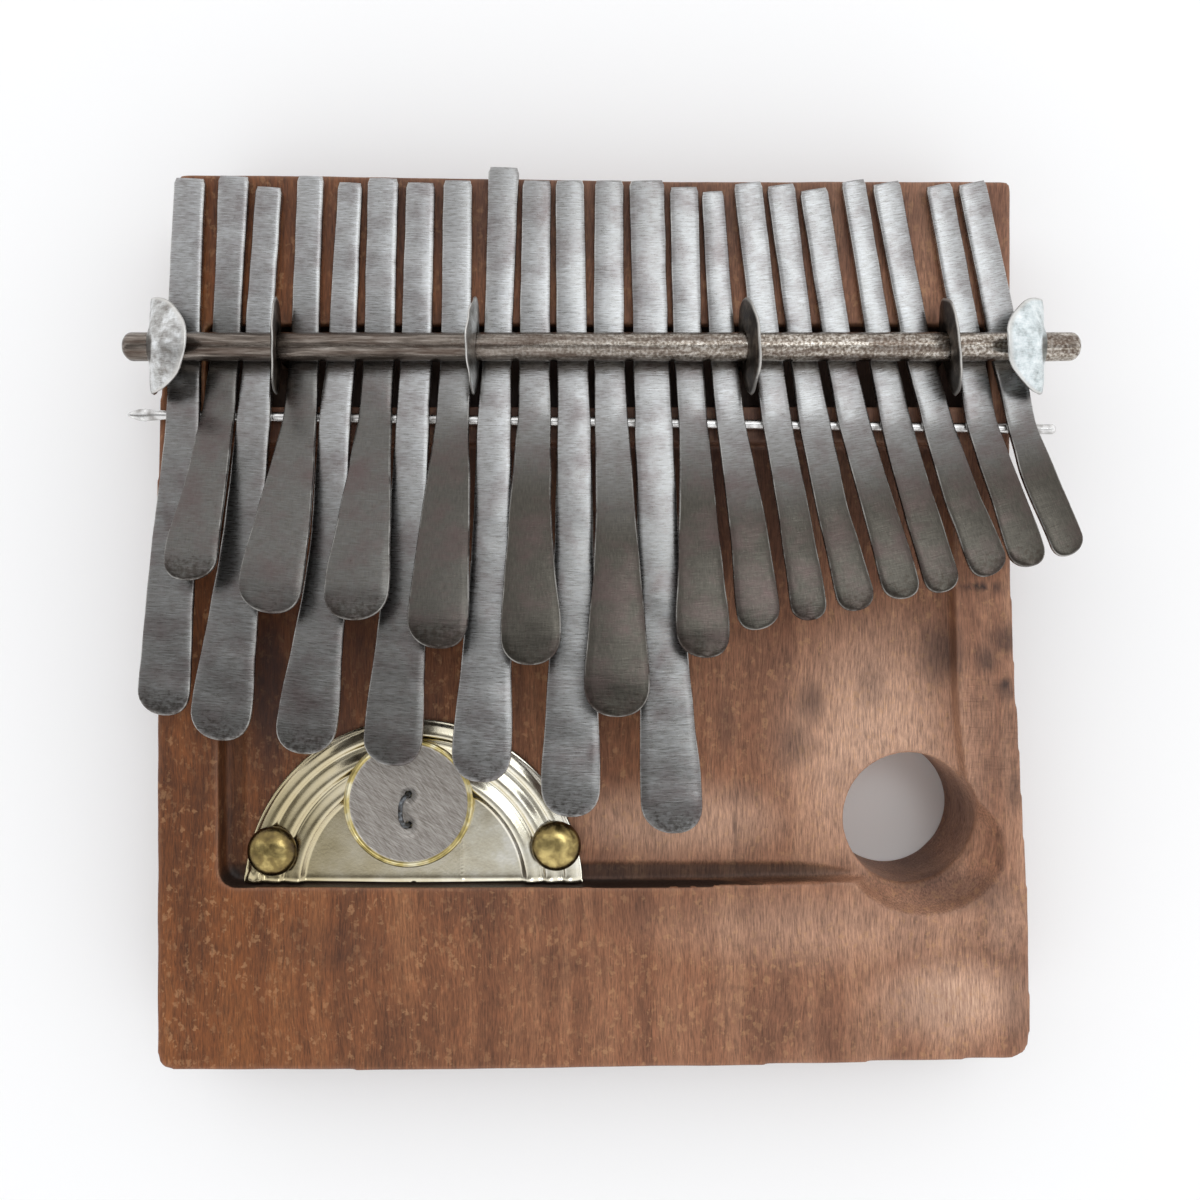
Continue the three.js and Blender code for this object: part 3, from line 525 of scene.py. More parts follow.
def key_mesh(node, number, upper_row):
    """A key as one closed mesh with rounded edges, a thinned half-round tip and a hammered face."""
    draw = random.Random(number)
    knots, places = key_spine(node)
    body_length = knots[-1]
    tip_radius = places[-1, 3] / 2
    body_at = np.concatenate([[0, 0.5, 1.2], np.arange(2, body_length - 0.3, key_step), [body_length]])
    tip_angles = np.radians(np.array([12, 24, 35, 45, 54, 62, 69, 75, 80, 84.5, 88, 90]))
    skew = draw.uniform(-0.16, 0.16)
    across_steps = 8

    def outline(inset):
        """Places and half widths along the key for an outline drawn in by inset."""
        along = np.maximum(body_at, inset)
        radius = tip_radius - inset
        tip = body_length + radius * np.sin(tip_angles)
        rounded = (1 - np.sin(tip_angles) ** tip_squareness) ** (1 / tip_squareness)
        spine = curve_through(knots, places, along)
        corner = 1 - 0.12 * (1 - step(0, 1.3, along))
        half = np.concatenate([spine[:, 3] / 2 * corner - inset, radius * rounded])
        end_slope = (spine[-1, :3] - spine[-2, :3]) / (along[-1] - along[-2])
        end_slope[2] *= 0.6
        drawn_out = spine[-1, :3] + np.outer(tip - body_length, end_slope)
        tip_share = np.concatenate([np.zeros(len(along)), np.sin(tip_angles) ** 2])
        centre = np.vstack([spine[:, :3], drawn_out])
        return np.concatenate([along, tip]), centre, half, tip_share

    total = body_length + tip_radius
    points = []
    grain = []

    def put(inset, under, dip, columns):
        """Adds the points of some columns of one level: its rows along the key, -1 to 1 across."""
        along, centre, half, tip_share = outline(inset)
        run = np.gradient(centre[:, :2], axis=0)
        run /= np.linalg.norm(run, axis=1)[:, None]
        sideways = np.column_stack([-run[:, 1], run[:, 0]]) * -1
        thickness = key_thickness - (key_thickness - key_tip_thickness) * step(0.4, 0.95, along / total)
        rows = []
        for column in columns:
            offset = column * half + skew * tip_radius * tip_share
            x = centre[:, 0] + sideways[:, 0] * offset
            y = centre[:, 1] + sideways[:, 1] * offset
            crown = 0.17 * (1 - column * column)
            z = centre[:, 2] + crown + under * thickness + dip * key_edge_radius
            start = len(points)
            points.extend(np.column_stack([x, y, z]))
            grain.extend(np.column_stack([offset + 30 * number, along, 0 * along]))
            rows.append(range(start, start + len(along)))
        return rows

    columns = np.linspace(-1, 1, across_steps + 1)
    bottom = put(key_edge_radius, -1, 0, columns)
    loops = [bottom]
    for inset_share, under, dip in ((0.3, -1, 0.3), (0.0, -1, 1.0), (0.0, 0, -1.0), (0.3, 0, -0.3)):
        loops.append(put(inset_share * key_edge_radius, under, dip, columns))
    top = put(key_edge_radius, 0, 0, columns)
    loops.append(top)
    faces = []
    count = len(body_at) + len(tip_angles)
    for row in range(count - 1):
        for one, other in zip(top, top[1:]):
            faces.append((one[row], one[row + 1], other[row + 1], other[row]))
        for one, other in zip(bottom, bottom[1:]):
            faces.append((other[row], other[row + 1], one[row + 1], one[row]))
        for low, high in zip(loops, loops[1:]):
            faces.append((low[0][row], low[0][row + 1], high[0][row + 1], high[0][row]))
            faces.append((high[-1][row], high[-1][row + 1], low[-1][row + 1], low[-1][row]))
    for low, high in zip(loops, loops[1:]):
        for k in range(across_steps):
            faces.append((low[k][0], high[k][0], high[k + 1][0], low[k + 1][0]))

    points = np.array(points)
    grain = np.array(grain)
    hammered = 0.13 * lumps(np.column_stack([grain[:, 0] * 1.3, grain[:, 1], grain[:, 2]]),
                             (9, 7, 9), number)
    rolled = 0.022 * lumps(grain, (14, 2.6, 9), number + 40)
    dent = step(6, 16, grain[:, 1])
    under_bar = np.exp(-((points[:, 1] - bar_y) / 6) ** 2)
    points[:, 2] += (hammered + rolled) * (0.4 + 0.6 * dent) * (1 - under_bar)
    points[:, 2] -= bar_clearance * under_bar
    waver = 0.16 * lumps(np.column_stack([np.sign(grain[:, 0] - 30 * number) * 9, grain[:, 1],
                                          0 * grain[:, 1]]), (9, 8, 9), number + 80)
    points[:, 0] += waver * step(2, 8, grain[:, 1])
    mesh = bpy.data.meshes.new(node)
    mesh.from_pydata((points * MM).tolist(), [], faces)
    mesh.update()
    attribute = mesh.attributes.new("key_place", "FLOAT_VECTOR", "POINT")
    attribute.data.foreach_set("vector", grain.astype(np.float32).ravel())
    rim = np.zeros(len(points))
    for level in loops[1:-1]:
        rim[list(level[0]) + list(level[-1])] = 1
    store(mesh, "rim", rim)
    # Painted shade: each key is darkened from about its middle to the tip, where the sloped tip faces
    # away from the light. Keys 8 to 13 are also a little darker at the back end.
    along_share = grain[:, 1] / total
    if upper_row:
        start = 0.14 + 0.2 * step(2, 12, number) + 0.1 * step(14, 15.2, number)
        tip_shade_and_dark_back = (0.8 + 0.2 * step(5, 9.5, number)) * step(start, start + 0.36, along_share)
    else:
        start = 0.12 + 0.22 * step(1, 6, number) - 0.08 * step(8, 11, number)
        strength = (0.54 + 0.1 * step(3, 7, number) - 0.32 * step(7, 9, number)
                    + 0.12 * step(9, 13, number))
        tip_shade_and_dark_back = strength * step(start, start + 0.4, along_share)
    tarnish = 0.22 * step(7, 8.5, number) * (1 - step(13, 14.5, number))
    tip_shade_and_dark_back = np.maximum(tip_shade_and_dark_back, tarnish * (1 - step(0.04, 0.2, along_share)))
    store(mesh, "tip_shade_and_dark_back", tip_shade_and_dark_back)
    # Darker speckling towards each key's tip end, its strength random for each key.
    store(mesh, "tip_speckling", draw.uniform(0.2, 1.0) * step(total - 9, total - 0.5, grain[:, 1]))
    cleanup = bmesh.new()
    cleanup.from_mesh(mesh)
    used = {v for f in cleanup.faces for v in f.verts}
    bmesh.ops.delete(cleanup, geom=[v for v in cleanup.verts if v not in used], context="VERTS")
    bmesh.ops.remove_doubles(cleanup, verts=cleanup.verts, dist=0.5e-6)
    bmesh.ops.recalc_face_normals(cleanup, faces=cleanup.faces)
    cleanup.to_mesh(mesh)
    cleanup.free()
    return mesh


# Filed mild steel: crosswise file marks 0.25 mm apart and fainter lengthwise ones; purple-brown
# oxide in patches of about 1 cm, painted shade darkening the blade towards the tip, darker speckling
# at the tip ends, and edges partly rubbed bright and partly painted with glints.
key_steel, tree = new_material("filed_mild_steel")
grain_at = add_node(tree, "ShaderNodeAttribute", attribute_name="key_place").outputs["Vector"]
file_place = add_node(tree, "ShaderNodeMapping", {"Vector": grain_at, "Scale": (0.4, 3.6, 1)})
file_marks = add_node(tree, "ShaderNodeTexNoise", {
    "Vector": file_place, "Scale": 1.0, "Detail": 5, "Roughness": 0.66})
draw_place = add_node(tree, "ShaderNodeMapping", {"Vector": grain_at, "Scale": (4.5, 0.45, 1)})
draw_marks = add_node(tree, "ShaderNodeTexNoise", {
    "Vector": draw_place, "Scale": 1.0, "Detail": 4, "Roughness": 0.7})
coarse_place = add_node(tree, "ShaderNodeMapping", {"Vector": grain_at, "Scale": (0.15, 1.0, 1)})
coarse_marks = add_node(tree, "ShaderNodeTexNoise", {
    "Vector": coarse_place, "Scale": 1.0, "Detail": 3, "Distortion": 0.3})
oxide = add_node(tree, "ShaderNodeTexNoise", {
    "Vector": grain_at, "Scale": 0.09, "Detail": 6, "Roughness": 0.68})
specks = add_node(tree, "ShaderNodeTexNoise", {
    "Vector": grain_at, "Scale": 1.0, "Detail": 4, "Roughness": 0.6})
steel_tone = add_node(tree, "ShaderNodeValToRGB", {"Fac": file_marks},
                      stops=[(0.3, "#807f7c"), (0.5, "#a0a09f"), (0.7, "#bcbec0")])
tip_shade_and_dark_back_share = add_node(tree, "ShaderNodeAttribute", attribute_name="tip_shade_and_dark_back").outputs["Fac"]
tip_shade_and_dark_back_tone = add_node(tree, "ShaderNodeValToRGB", {"Fac": draw_marks},
                      stops=[(0.34, "#403d38"), (0.5, "#4a4741"), (0.66, "#55514a")])
with_tip_shade_and_dark_back = add_node(tree, "ShaderNodeMixRGB", {
    "Fac": tip_shade_and_dark_back_share, "Color1": steel_tone, "Color2": tip_shade_and_dark_back_tone})
oxide_share = add_node(tree, "ShaderNodeMapRange", {
    "Value": oxide, "From Min": 0.46, "From Max": 0.7, "To Max": 0.6})
oxidised = add_node(tree, "ShaderNodeMixRGB", {
    "Fac": oxide_share, "Color1": with_tip_shade_and_dark_back, "Color2": to_linear("#5c4b4a")})
tip_speckling = add_node(tree, "ShaderNodeAttribute", attribute_name="tip_speckling").outputs["Fac"]
tip_speckled = add_node(tree, "ShaderNodeMath", {0: tip_speckling, 1: 0.3, 2: specks}, operation="MULTIPLY_ADD")
speck_share = add_node(tree, "ShaderNodeMapRange", {
    "Value": tip_speckled, "From Min": 0.64, "From Max": 0.8, "To Max": 0.6})
specked = add_node(tree, "ShaderNodeMixRGB", {
    "Fac": speck_share, "Color1": oxidised, "Color2": to_linear("#38312b")})
# The key edges are partly rubbed bright metal and partly painted glints.
rim_share = add_node(tree, "ShaderNodeAttribute", attribute_name="rim").outputs["Fac"]
rim_wear_and_glint_spots = add_node(tree, "ShaderNodeMapRange", {
    "Value": oxide, "From Min": 0.56, "From Max": 0.4, "To Max": 0.6})
rim_rubbed_and_glint = add_node(tree, "ShaderNodeMath", {0: rim_share, 1: rim_wear_and_glint_spots}, operation="MULTIPLY")
key_colour = add_node(tree, "ShaderNodeMixRGB", {
    "Fac": rim_rubbed_and_glint, "Color1": specked, "Color2": to_linear("#d6d4cf")})
key_rough = add_node(tree, "ShaderNodeMapRange", {
    "Value": file_marks, "From Min": 0.3, "From Max": 0.7, "To Min": 0.24, "To Max": 0.34})
file_bump = add_node(tree, "ShaderNodeBump", {
    "Height": file_marks, "Strength": 0.5, "Distance": 0.04 * MM})
draw_bump = add_node(tree, "ShaderNodeBump", {
    "Height": draw_marks, "Strength": 0.15, "Distance": 0.02 * MM, "Normal": file_bump})
coarse_bump = add_node(tree, "ShaderNodeBump", {
    "Height": coarse_marks, "Strength": 0.5, "Distance": 0.07 * MM, "Normal": draw_bump})
finish(tree, key_colour, key_rough, coarse_bump)

lower_row = (1, 3, 5, 7, 9, 11, 13)
for number in range(1, 23):
    node = f"key_{number:02d}"
    key = add_object(node + "_forged", key_mesh(node, number, number not in lower_row), key_steel)
    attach(key, node)
    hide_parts(node)

# ---- Pressure bar, bridge rod and rattle wire ----
# The bar is forged round iron, its ends hammered blunt and its right half rubbed to bare pitted
# metal, its colour painted lighter to the right for the light falling from there. The rod is bright
# drawn wire with its left end beaten flat. All are swept along their paths.


def add_sockets(tree, sockets):
    """Adds a tree's named inputs, and its geometry in and out; returns the identifiers by name."""
    found = {}
    for name, kind, value in sockets:
        socket = tree.interface.new_socket(name, in_out="INPUT", socket_type=kind)
        if value is not None:
            socket.default_value = value
        found[name] = socket.identifier
    tree.interface.new_socket("Geometry", in_out="OUTPUT", socket_type="NodeSocketGeometry")
    return found


sweep = bpy.data.node_groups.new("sweep_along_path", "GeometryNodeTree")
sweep_inputs = add_sockets(sweep, [
    ("Path", "NodeSocketGeometry", None), ("Radius", "NodeSocketFloat", 0.001),
    ("Sides", "NodeSocketInt", 24), ("Unevenness", "NodeSocketFloat", 0.0),
    ("Lump Size", "NodeSocketFloat", 0.003), ("Seed", "NodeSocketFloat", 0.0),
    ("Metal", "NodeSocketMaterial", None)])
given = add_node(sweep, "NodeGroupInput").outputs
path = add_node(sweep, "GeometryNodeMeshToCurve", {"Mesh": given["Path"]})
share = add_node(sweep, "GeometryNodeInputNamedAttribute", {"Name": "thickness"}, data_type="FLOAT")
section = add_node(sweep, "GeometryNodeCurvePrimitiveCircle", {
    "Resolution": given["Sides"], "Radius": given["Radius"]})
swept = add_node(sweep, "GeometryNodeCurveToMesh", {
    "Curve": path, "Profile Curve": section.outputs["Curve"], "Scale": share, "Fill Caps": True})
position = add_node(sweep, "GeometryNodeInputPosition")
spread = add_node(sweep, "ShaderNodeMath", {0: 1.0, 1: given["Lump Size"]}, operation="DIVIDE")
lump = add_node(sweep, "ShaderNodeTexNoise", {
    "Vector": position, "W": given["Seed"], "Scale": spread, "Detail": 2}, noise_dimensions="4D")
centred = add_node(sweep, "ShaderNodeMath", {0: lump, 1: 0.5}, operation="SUBTRACT")
amount = add_node(sweep, "ShaderNodeMath", {0: centred, 1: given["Unevenness"]},
                  operation="MULTIPLY")
normal = add_node(sweep, "GeometryNodeInputNormal")
push = add_node(sweep, "ShaderNodeVectorMath", {0: normal, "Scale": amount}, operation="SCALE")
uneven = add_node(sweep, "GeometryNodeSetPosition", {"Geometry": swept, "Offset": push})
smooth = add_node(sweep, "GeometryNodeSetShadeSmooth", {"Geometry": uneven})
real = add_node(sweep, "GeometryNodeRealizeInstances", {"Geometry": smooth})
dressed = add_node(sweep, "GeometryNodeSetMaterial", {"Geometry": real, "Material": given["Metal"]})
add_node(sweep, "NodeGroupOutput", {0: dressed})


def swept_piece(name, path_points, thickness, **settings):
    """A round piece swept along points in mm; thickness is its share of the radius at each point."""
    mesh = bpy.data.meshes.new(name)
    links = [(i, i + 1) for i in range(len(path_points) - 1)]
    mesh.from_pydata((np.array(path_points) * MM).tolist(), links, [])
    store(mesh, "thickness", thickness)
    piece = bpy.data.objects.new(name, mesh)
    bpy.context.scene.collection.objects.link(piece)
    modifier = piece.modifiers.new("sweep", "NODES")
    modifier.node_group = sweep
    for socket, value in settings.items():
        modifier[sweep_inputs[socket.replace("_", " ")]] = value
    bake_modifiers(piece)
    return piece


# Forged bar iron: dark brown scale in streaks along the bar on the left, rubbed and pitted to
# silver and straw on the right; the change is partly bare metal and partly painted light from the
# right. Pits are about 0.7 mm.
bar_iron, tree = new_material("forged_bar_iron")
mm_place = place_in_mm(tree)
streak_place = add_node(tree, "ShaderNodeMapping", {"Vector": mm_place, "Scale": (0.14, 1.5, 1.5)})
streaks = add_node(tree, "ShaderNodeTexNoise", {
    "Vector": streak_place, "Scale": 1.0, "Detail": 4, "Roughness": 0.6})
pits = add_node(tree, "ShaderNodeTexNoise", {
    "Vector": mm_place, "Scale": 1.5, "Detail": 4, "Roughness": 0.6})
brown = add_node(tree, "ShaderNodeTexNoise", {
    "Vector": streak_place, "Scale": 0.4, "Detail": 4, "Roughness": 0.6})
at_x = add_node(tree, "ShaderNodeSeparateXYZ", {"Vector": mm_place}).outputs["X"]
# Lighter to the right: partly bare metal and partly painted light from the right.
bare_and_lit_rightward = add_node(tree, "ShaderNodeMapRange", {"Value": at_x, "From Min": -40, "From Max": 45})
scale_tone = add_node(tree, "ShaderNodeValToRGB", {"Fac": streaks},
                      stops=[(0.3, "#443d38"), (0.5, "#70675f"), (0.7, "#9a928a")])
bare_tone = add_node(tree, "ShaderNodeValToRGB", {"Fac": pits},
                     stops=[(0.36, "#655a50"), (0.48, "#968c80"), (0.62, "#cdc7be")])
bar_tone = add_node(tree, "ShaderNodeMixRGB", {
    "Fac": bare_and_lit_rightward, "Color1": scale_tone, "Color2": bare_tone})
brown_share = add_node(tree, "ShaderNodeMapRange", {
    "Value": brown, "From Min": 0.48, "From Max": 0.62, "To Max": 0.6})
browned = add_node(tree, "ShaderNodeMixRGB", {
    "Fac": brown_share, "Color1": bar_tone, "Color2": to_linear("#4e3e35")})
bar_rough = add_node(tree, "ShaderNodeMapRange", {
    "Value": streaks, "From Min": 0.3, "From Max": 0.7, "To Min": 0.34, "To Max": 0.17})
pit_bump = add_node(tree, "ShaderNodeBump", {
    "Height": pits, "Strength": 0.4, "Distance": 0.07 * MM})
streak_bump = add_node(tree, "ShaderNodeBump", {
    "Height": streaks, "Strength": 0.5, "Distance": 0.2 * MM, "Normal": pit_bump})
finish(tree, browned, bar_rough, streak_bump)

# Bright drawn steel wire: nearly clean, with dull spots of about 2 mm.
rod_steel, tree = new_material("bright_drawn_steel")
mm_place = place_in_mm(tree)
dull = add_node(tree, "ShaderNodeTexNoise", {"Vector": mm_place, "Scale": 0.5, "Detail": 4})
rod_tone = add_node(tree, "ShaderNodeValToRGB", {"Fac": dull},
                    stops=[(0.3, "#9b9894"), (0.5, "#cfcecc"), (0.7, "#ececea")])
rod_rough = add_node(tree, "ShaderNodeMapRange", {
    "Value": dull, "From Min": 0.35, "From Max": 0.65, "To Min": 0.34, "To Max": 0.2})
rod_bump = add_node(tree, "ShaderNodeBump", {"Height": dull, "Strength": 0.4, "Distance": 0.1 * MM})
finish(tree, rod_tone, rod_rough, rod_bump)


def straight_path(low, high, slope, blunt):
    """Points along X between two places in mm, close together near the ends, and the thickness
    there: full, but rounded off over the last stretch of length blunt."""
    near = np.array([0, 0.08, 0.25, 0.5, 0.75, 1.0]) * blunt
    along = np.concatenate([low[0] + near, np.arange(low[0] + blunt + 1.5, high[0] - blunt - 1, 1.5),
                            high[0] - near[::-1]])
    middle = (low + high) / 2
    points = np.column_stack([along, middle[1] + (along - middle[0]) * slope,
                              np.full(len(along), middle[2])])
    rounding = np.sqrt(np.clip(1 - (1 - near / blunt) ** 2, 0.04, 1))
    thickness = np.ones(len(along))
    thickness[:len(near)] = rounding
    thickness[-len(near):] = rounding[::-1]
    return points, thickness


bar_radius = (bar_high[2] - bar_low[2]) / 2
bar_points, bar_thickness = straight_path(bar_low, bar_high, 0, 2.2)
pressure_bar = swept_piece("pressure_bar_forged", bar_points, bar_thickness,
                           Radius=(bar_radius - 0.06) * MM, Sides=40, Unevenness=0.4 * MM,
                           Lump_Size=6 * MM, Seed=3.0, Metal=bar_iron)
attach(pressure_bar, "instrument")
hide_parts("pressure_bar")

low, high = box_in_mm("bridge_rod")
rod_radius = (high[2] - low[2]) / 2
rod_slope = -math.tan(math.radians(0.9))
rod_points, rod_thickness = straight_path(low, high, rod_slope, 1.0)
bridge_rod = swept_piece("bridge_rod_drawn", rod_points, rod_thickness, Radius=rod_radius * MM,
                         Sides=20, Unevenness=0.06 * MM, Lump_Size=4 * MM, Seed=5.0,
                         Metal=rod_steel)
rod_mesh_points = points_of(bridge_rod.data)
beaten = 1 - step(low[0] + 1.5, low[0] + 7, rod_mesh_points[:, 0])
rod_middle_y = (low[1] + high[1]) / 2 + (rod_mesh_points[:, 0] - (low[0] + high[0]) / 2) * rod_slope
rod_middle_z = (low[2] + high[2]) / 2
pointed = 1 - step(low[0], low[0] + 4, rod_mesh_points[:, 0])
rod_mesh_points[:, 1] += (0.45 * beaten - 0.9 * pointed) * (rod_mesh_points[:, 1] - rod_middle_y)
rod_mesh_points[:, 2] -= beaten * 0.6 * (rod_mesh_points[:, 2] - rod_middle_z)
set_points(bridge_rod.data, rod_mesh_points)
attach(bridge_rod, "instrument")
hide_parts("bridge_rod")

# The rattle's wire: soft dark iron through the disc's two holes and on into the board, bowed to the
# left over the disc and well clear of it when it lifts.
low, high = box_in_mm("rattle_wire")
wire_radius = 0.55
wire_x = high[0] - wire_radius
wire_bow = high[0] - low[0] - 2 * wire_radius
leg_ends = (low[1] + wire_radius, high[1] - wire_radius)
crown = high[2] - wire_radius
turns = np.radians(np.arange(0, 181, 9))
leg_middle = (leg_ends[0] + leg_ends[1]) / 2
leg_spread = (leg_ends[1] - leg_ends[0]) / 2
arch = np.column_stack([wire_x - wire_bow * np.sin(turns), leg_middle - leg_spread * np.cos(turns),
                        crown - 1.3 * (1 - np.sin(turns))])
leg_heights = np.arange(low[2], arch[0, 2] - 0.4, 1.0)
foot_leg = np.column_stack([np.full(len(leg_heights), wire_x),
                            np.full(len(leg_heights), leg_ends[0]), leg_heights])
head_leg = np.column_stack([foot_leg[:, 0], np.full(len(leg_heights), leg_ends[1]),
                            leg_heights])[::-1]
wire_points = np.vstack([foot_leg, arch, head_leg])


def mottled_metal(name, spots_per_mm, tones, unevenness, depth, roughness):
    """A metal clouded through three tones in spots, with a bump of the same spots, depth in mm."""
    material, tree = new_material(name)
    spots = add_node(tree, "ShaderNodeTexNoise", {
        "Vector": place_in_mm(tree), "Scale": spots_per_mm, "Detail": 4})
    tone = add_node(tree, "ShaderNodeValToRGB", {"Fac": spots}, stops=tones)
    bump = add_node(tree, "ShaderNodeBump", {
        "Height": spots, "Strength": unevenness, "Distance": depth * MM})
    finish(tree, tone, roughness, bump)
    return material


# Dull annealed iron, blue-grey with brown in its lows, in spots of about 1 mm.
wire_iron = mottled_metal("annealed_iron_wire", 1.0, [(0.35, "#3c3732"), (0.5, "#5e6062"),
                                                      (0.65, "#888c90")], 0.4, 0.08, 0.45)

rattle_wire = swept_piece("rattle_wire_bent", wire_points, np.ones(len(wire_points)),
                          Radius=wire_radius * MM, Sides=14, Unevenness=0.08 * MM,
                          Lump_Size=1.5 * MM, Seed=9.0, Metal=wire_iron)
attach(rattle_wire, "instrument")
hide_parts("rattle_wire")

# ---- Clamp eyes and end discs ----
# Discs of scrap steel plate, hammered thin at the rim, with a hole for the bar. Four have a shank
# that goes down through the board to a nut; the two end discs are beaten over towards the middle.

disc_bore = bar_radius + 0.3
end_disc_outset = 2.2
shank_radius = 2.0
disc_spokes = 72


def add_shell(points, faces, rings, closed_round=False):
    """Adds a tube of equal rings of points to points and faces. Round tubes join the last ring to
    the first; other tubes are closed by a face at each end."""
    start = len(points)
    size = len(rings[0])
    for ring in rings:
        points.extend(ring)
    pairs = [(i, i + 1) for i in range(len(rings) - 1)]
    if closed_round:
        pairs.append((len(rings) - 1, 0))
    for one, other in pairs:
        for k in range(size):
            after = (k + 1) % size
            faces.append((start + one * size + k, start + other * size + k,
                          start + other * size + after, start + one * size + after))
    if not closed_round:
        faces.append(tuple(start + k for k in range(size)))
        faces.append(tuple(start + (len(rings) - 1) * size + k for k in reversed(range(size))))


def mesh_of(name, points, faces):
    """A mesh from points in mm and faces, its doubles merged and every face turned outwards."""
    mesh = bpy.data.meshes.new(name)
    mesh.from_pydata((np.array(points) * MM).tolist(), [], faces)
    shape = bmesh.new()
    shape.from_mesh(mesh)
    bmesh.ops.remove_doubles(shape, verts=shape.verts, dist=0.5e-6)
    bmesh.ops.recalc_face_normals(shape, faces=shape.faces)
    shape.to_mesh(mesh)
    shape.free()
    return mesh


def shell_mesh(name, rings, closed_round=False):
    """A mesh of one tube of rings."""
    points, faces = [], []
    add_shell(points, faces, rings, closed_round)
    return mesh_of(name, points, faces)


def disc_stand(node):
    """Where a disc crosses the bar, and its sideways lean per mm up and per mm along Y."""
    places = points_of(merged_copy(node))
    plate = places[places[:, 2] > bar_z - 3]
    terms = np.column_stack([np.ones(len(plate)), plate[:, 2] - bar_z, plate[:, 1] - bar_y])
    (at, lean, turn), *_ = np.linalg.lstsq(terms, plate[:, 0], rcond=None)
    return at, lean, turn, plate


def disc_rings(node, seed, bend, thickness):
    """Rings round the bar for one hammered disc: a thin uneven rim, a thicker middle, both faces."""
    at, lean, turn, plate = disc_stand(node)
    top = plate[:, 2].max() - bar_z
    side = (plate[:, 1].max() - plate[:, 1].min()) / 2
    bottom = bar_z - points_of(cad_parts[node].data)[:, 2].min()
    bottom = min(bottom, bar_z - board_front - 0.4) if node.startswith("clamp") else top
    profile = [(0, -1), (0.3, -1), (0.55, -0.95), (0.75, -0.8), (0.9, -0.6), (0.97, -0.4), (1.0, 0),
               (0.97, 0.4), (0.9, 0.6), (0.75, 0.8), (0.55, 0.95), (0.3, 1), (0, 1)]
    rings = []
    for spoke in range(disc_spokes):
        angle = 2 * math.pi * spoke / disc_spokes
        sine, cosine = math.sin(angle), math.cos(angle)
        uneven = 1 + 0.035 * noise.noise(Vector((2.2 * sine, 2.2 * cosine, seed * 3.1)))
        squeeze = (top if cosine > 0 else bottom) / side
        ring = []
        for share, face in profile:
            radius = disc_bore + (side * uneven - disc_bore) * share
            along = radius * sine
            up = radius * cosine * (1 - (1 - squeeze) * share)
            dent = 0.35 * noise.noise(Vector((along / 4.5, up / 4.5, seed * 7.7)))
            bent = bend * (up / side) * abs(up / side) * 1.4 + dent * share
            sideways = lean * up
            if node.startswith("end"):
                # The upper half is beaten over the bar, and the lower half hangs nearly straight.
                folded = 1.31 * (0.12 + 0.88 * share) if up > 0 else 0.1
                sideways = lean * folded * up - math.copysign(end_disc_outset, lean)
            x = at + sideways + turn * along + face * thickness / 2 + bent
            ring.append((x, bar_y + along, bar_z + up))
        rings.append(ring)
    return rings, at


# Hammered steel plate: cold grey, dished in dents of about 4 mm, with brown oxide in the hollows
# and crossing fine scratches. Three of the eyes are darker with scale.
def plate_metal(name, dark, middle, light, roughness):
    material, tree = new_material(name)
    mm_place = place_in_mm(tree)
    cloud = add_node(tree, "ShaderNodeTexNoise", {
        "Vector": mm_place, "Scale": 0.32, "Detail": 5, "Roughness": 0.65})
    slant = add_node(tree, "ShaderNodeMapping", {
        "Vector": mm_place, "Rotation": (0.4, 0.3, 0.7), "Scale": (0.5, 5.0, 0.5)})
    scratches = add_node(tree, "ShaderNodeTexNoise", {
        "Vector": slant, "Scale": 1.0, "Detail": 3, "Roughness": 0.6})
    clouded = add_node(tree, "ShaderNodeValToRGB", {"Fac": cloud},
                       stops=[(0.34, dark), (0.5, middle), (0.66, light)])
    scratch_tone = add_node(tree, "ShaderNodeValToRGB", {"Fac": scratches},
                            stops=[(0.35, "#7c7a78"), (0.6, "#c8c8c8")])
    scratched = add_node(tree, "ShaderNodeMixRGB", {
        "Fac": 0.5, "Color1": clouded, "Color2": scratch_tone}, blend_type="OVERLAY")
    edge = add_node(tree, "ShaderNodeAttribute", attribute_name="wear").outputs["Fac"]
    bright_edge = add_node(tree, "ShaderNodeMixRGB", {
        "Fac": edge, "Color1": scratched, "Color2": to_linear("#cfcdc8")})
    bump = add_node(tree, "ShaderNodeBump", {
        "Height": cloud, "Strength": 0.6, "Distance": 0.35 * MM})
    fine_bump = add_node(tree, "ShaderNodeBump", {
        "Height": scratches, "Strength": 0.4, "Distance": 0.06 * MM, "Normal": bump})
    finish(tree, bright_edge, roughness, fine_bump)
    return material


pale_plate = plate_metal("hammered_steel_plate", "#8d8984", "#bfbfbd", "#e2e4e4", 0.3)
scaled_plate = plate_metal("scaled_steel_plate", "#2e2824", "#4d443d", "#82776c", 0.42)
clean_plate = plate_metal("filed_steel_plate", "#b4bbbb", "#d9e1e2", "#f0f5f5", 0.32)

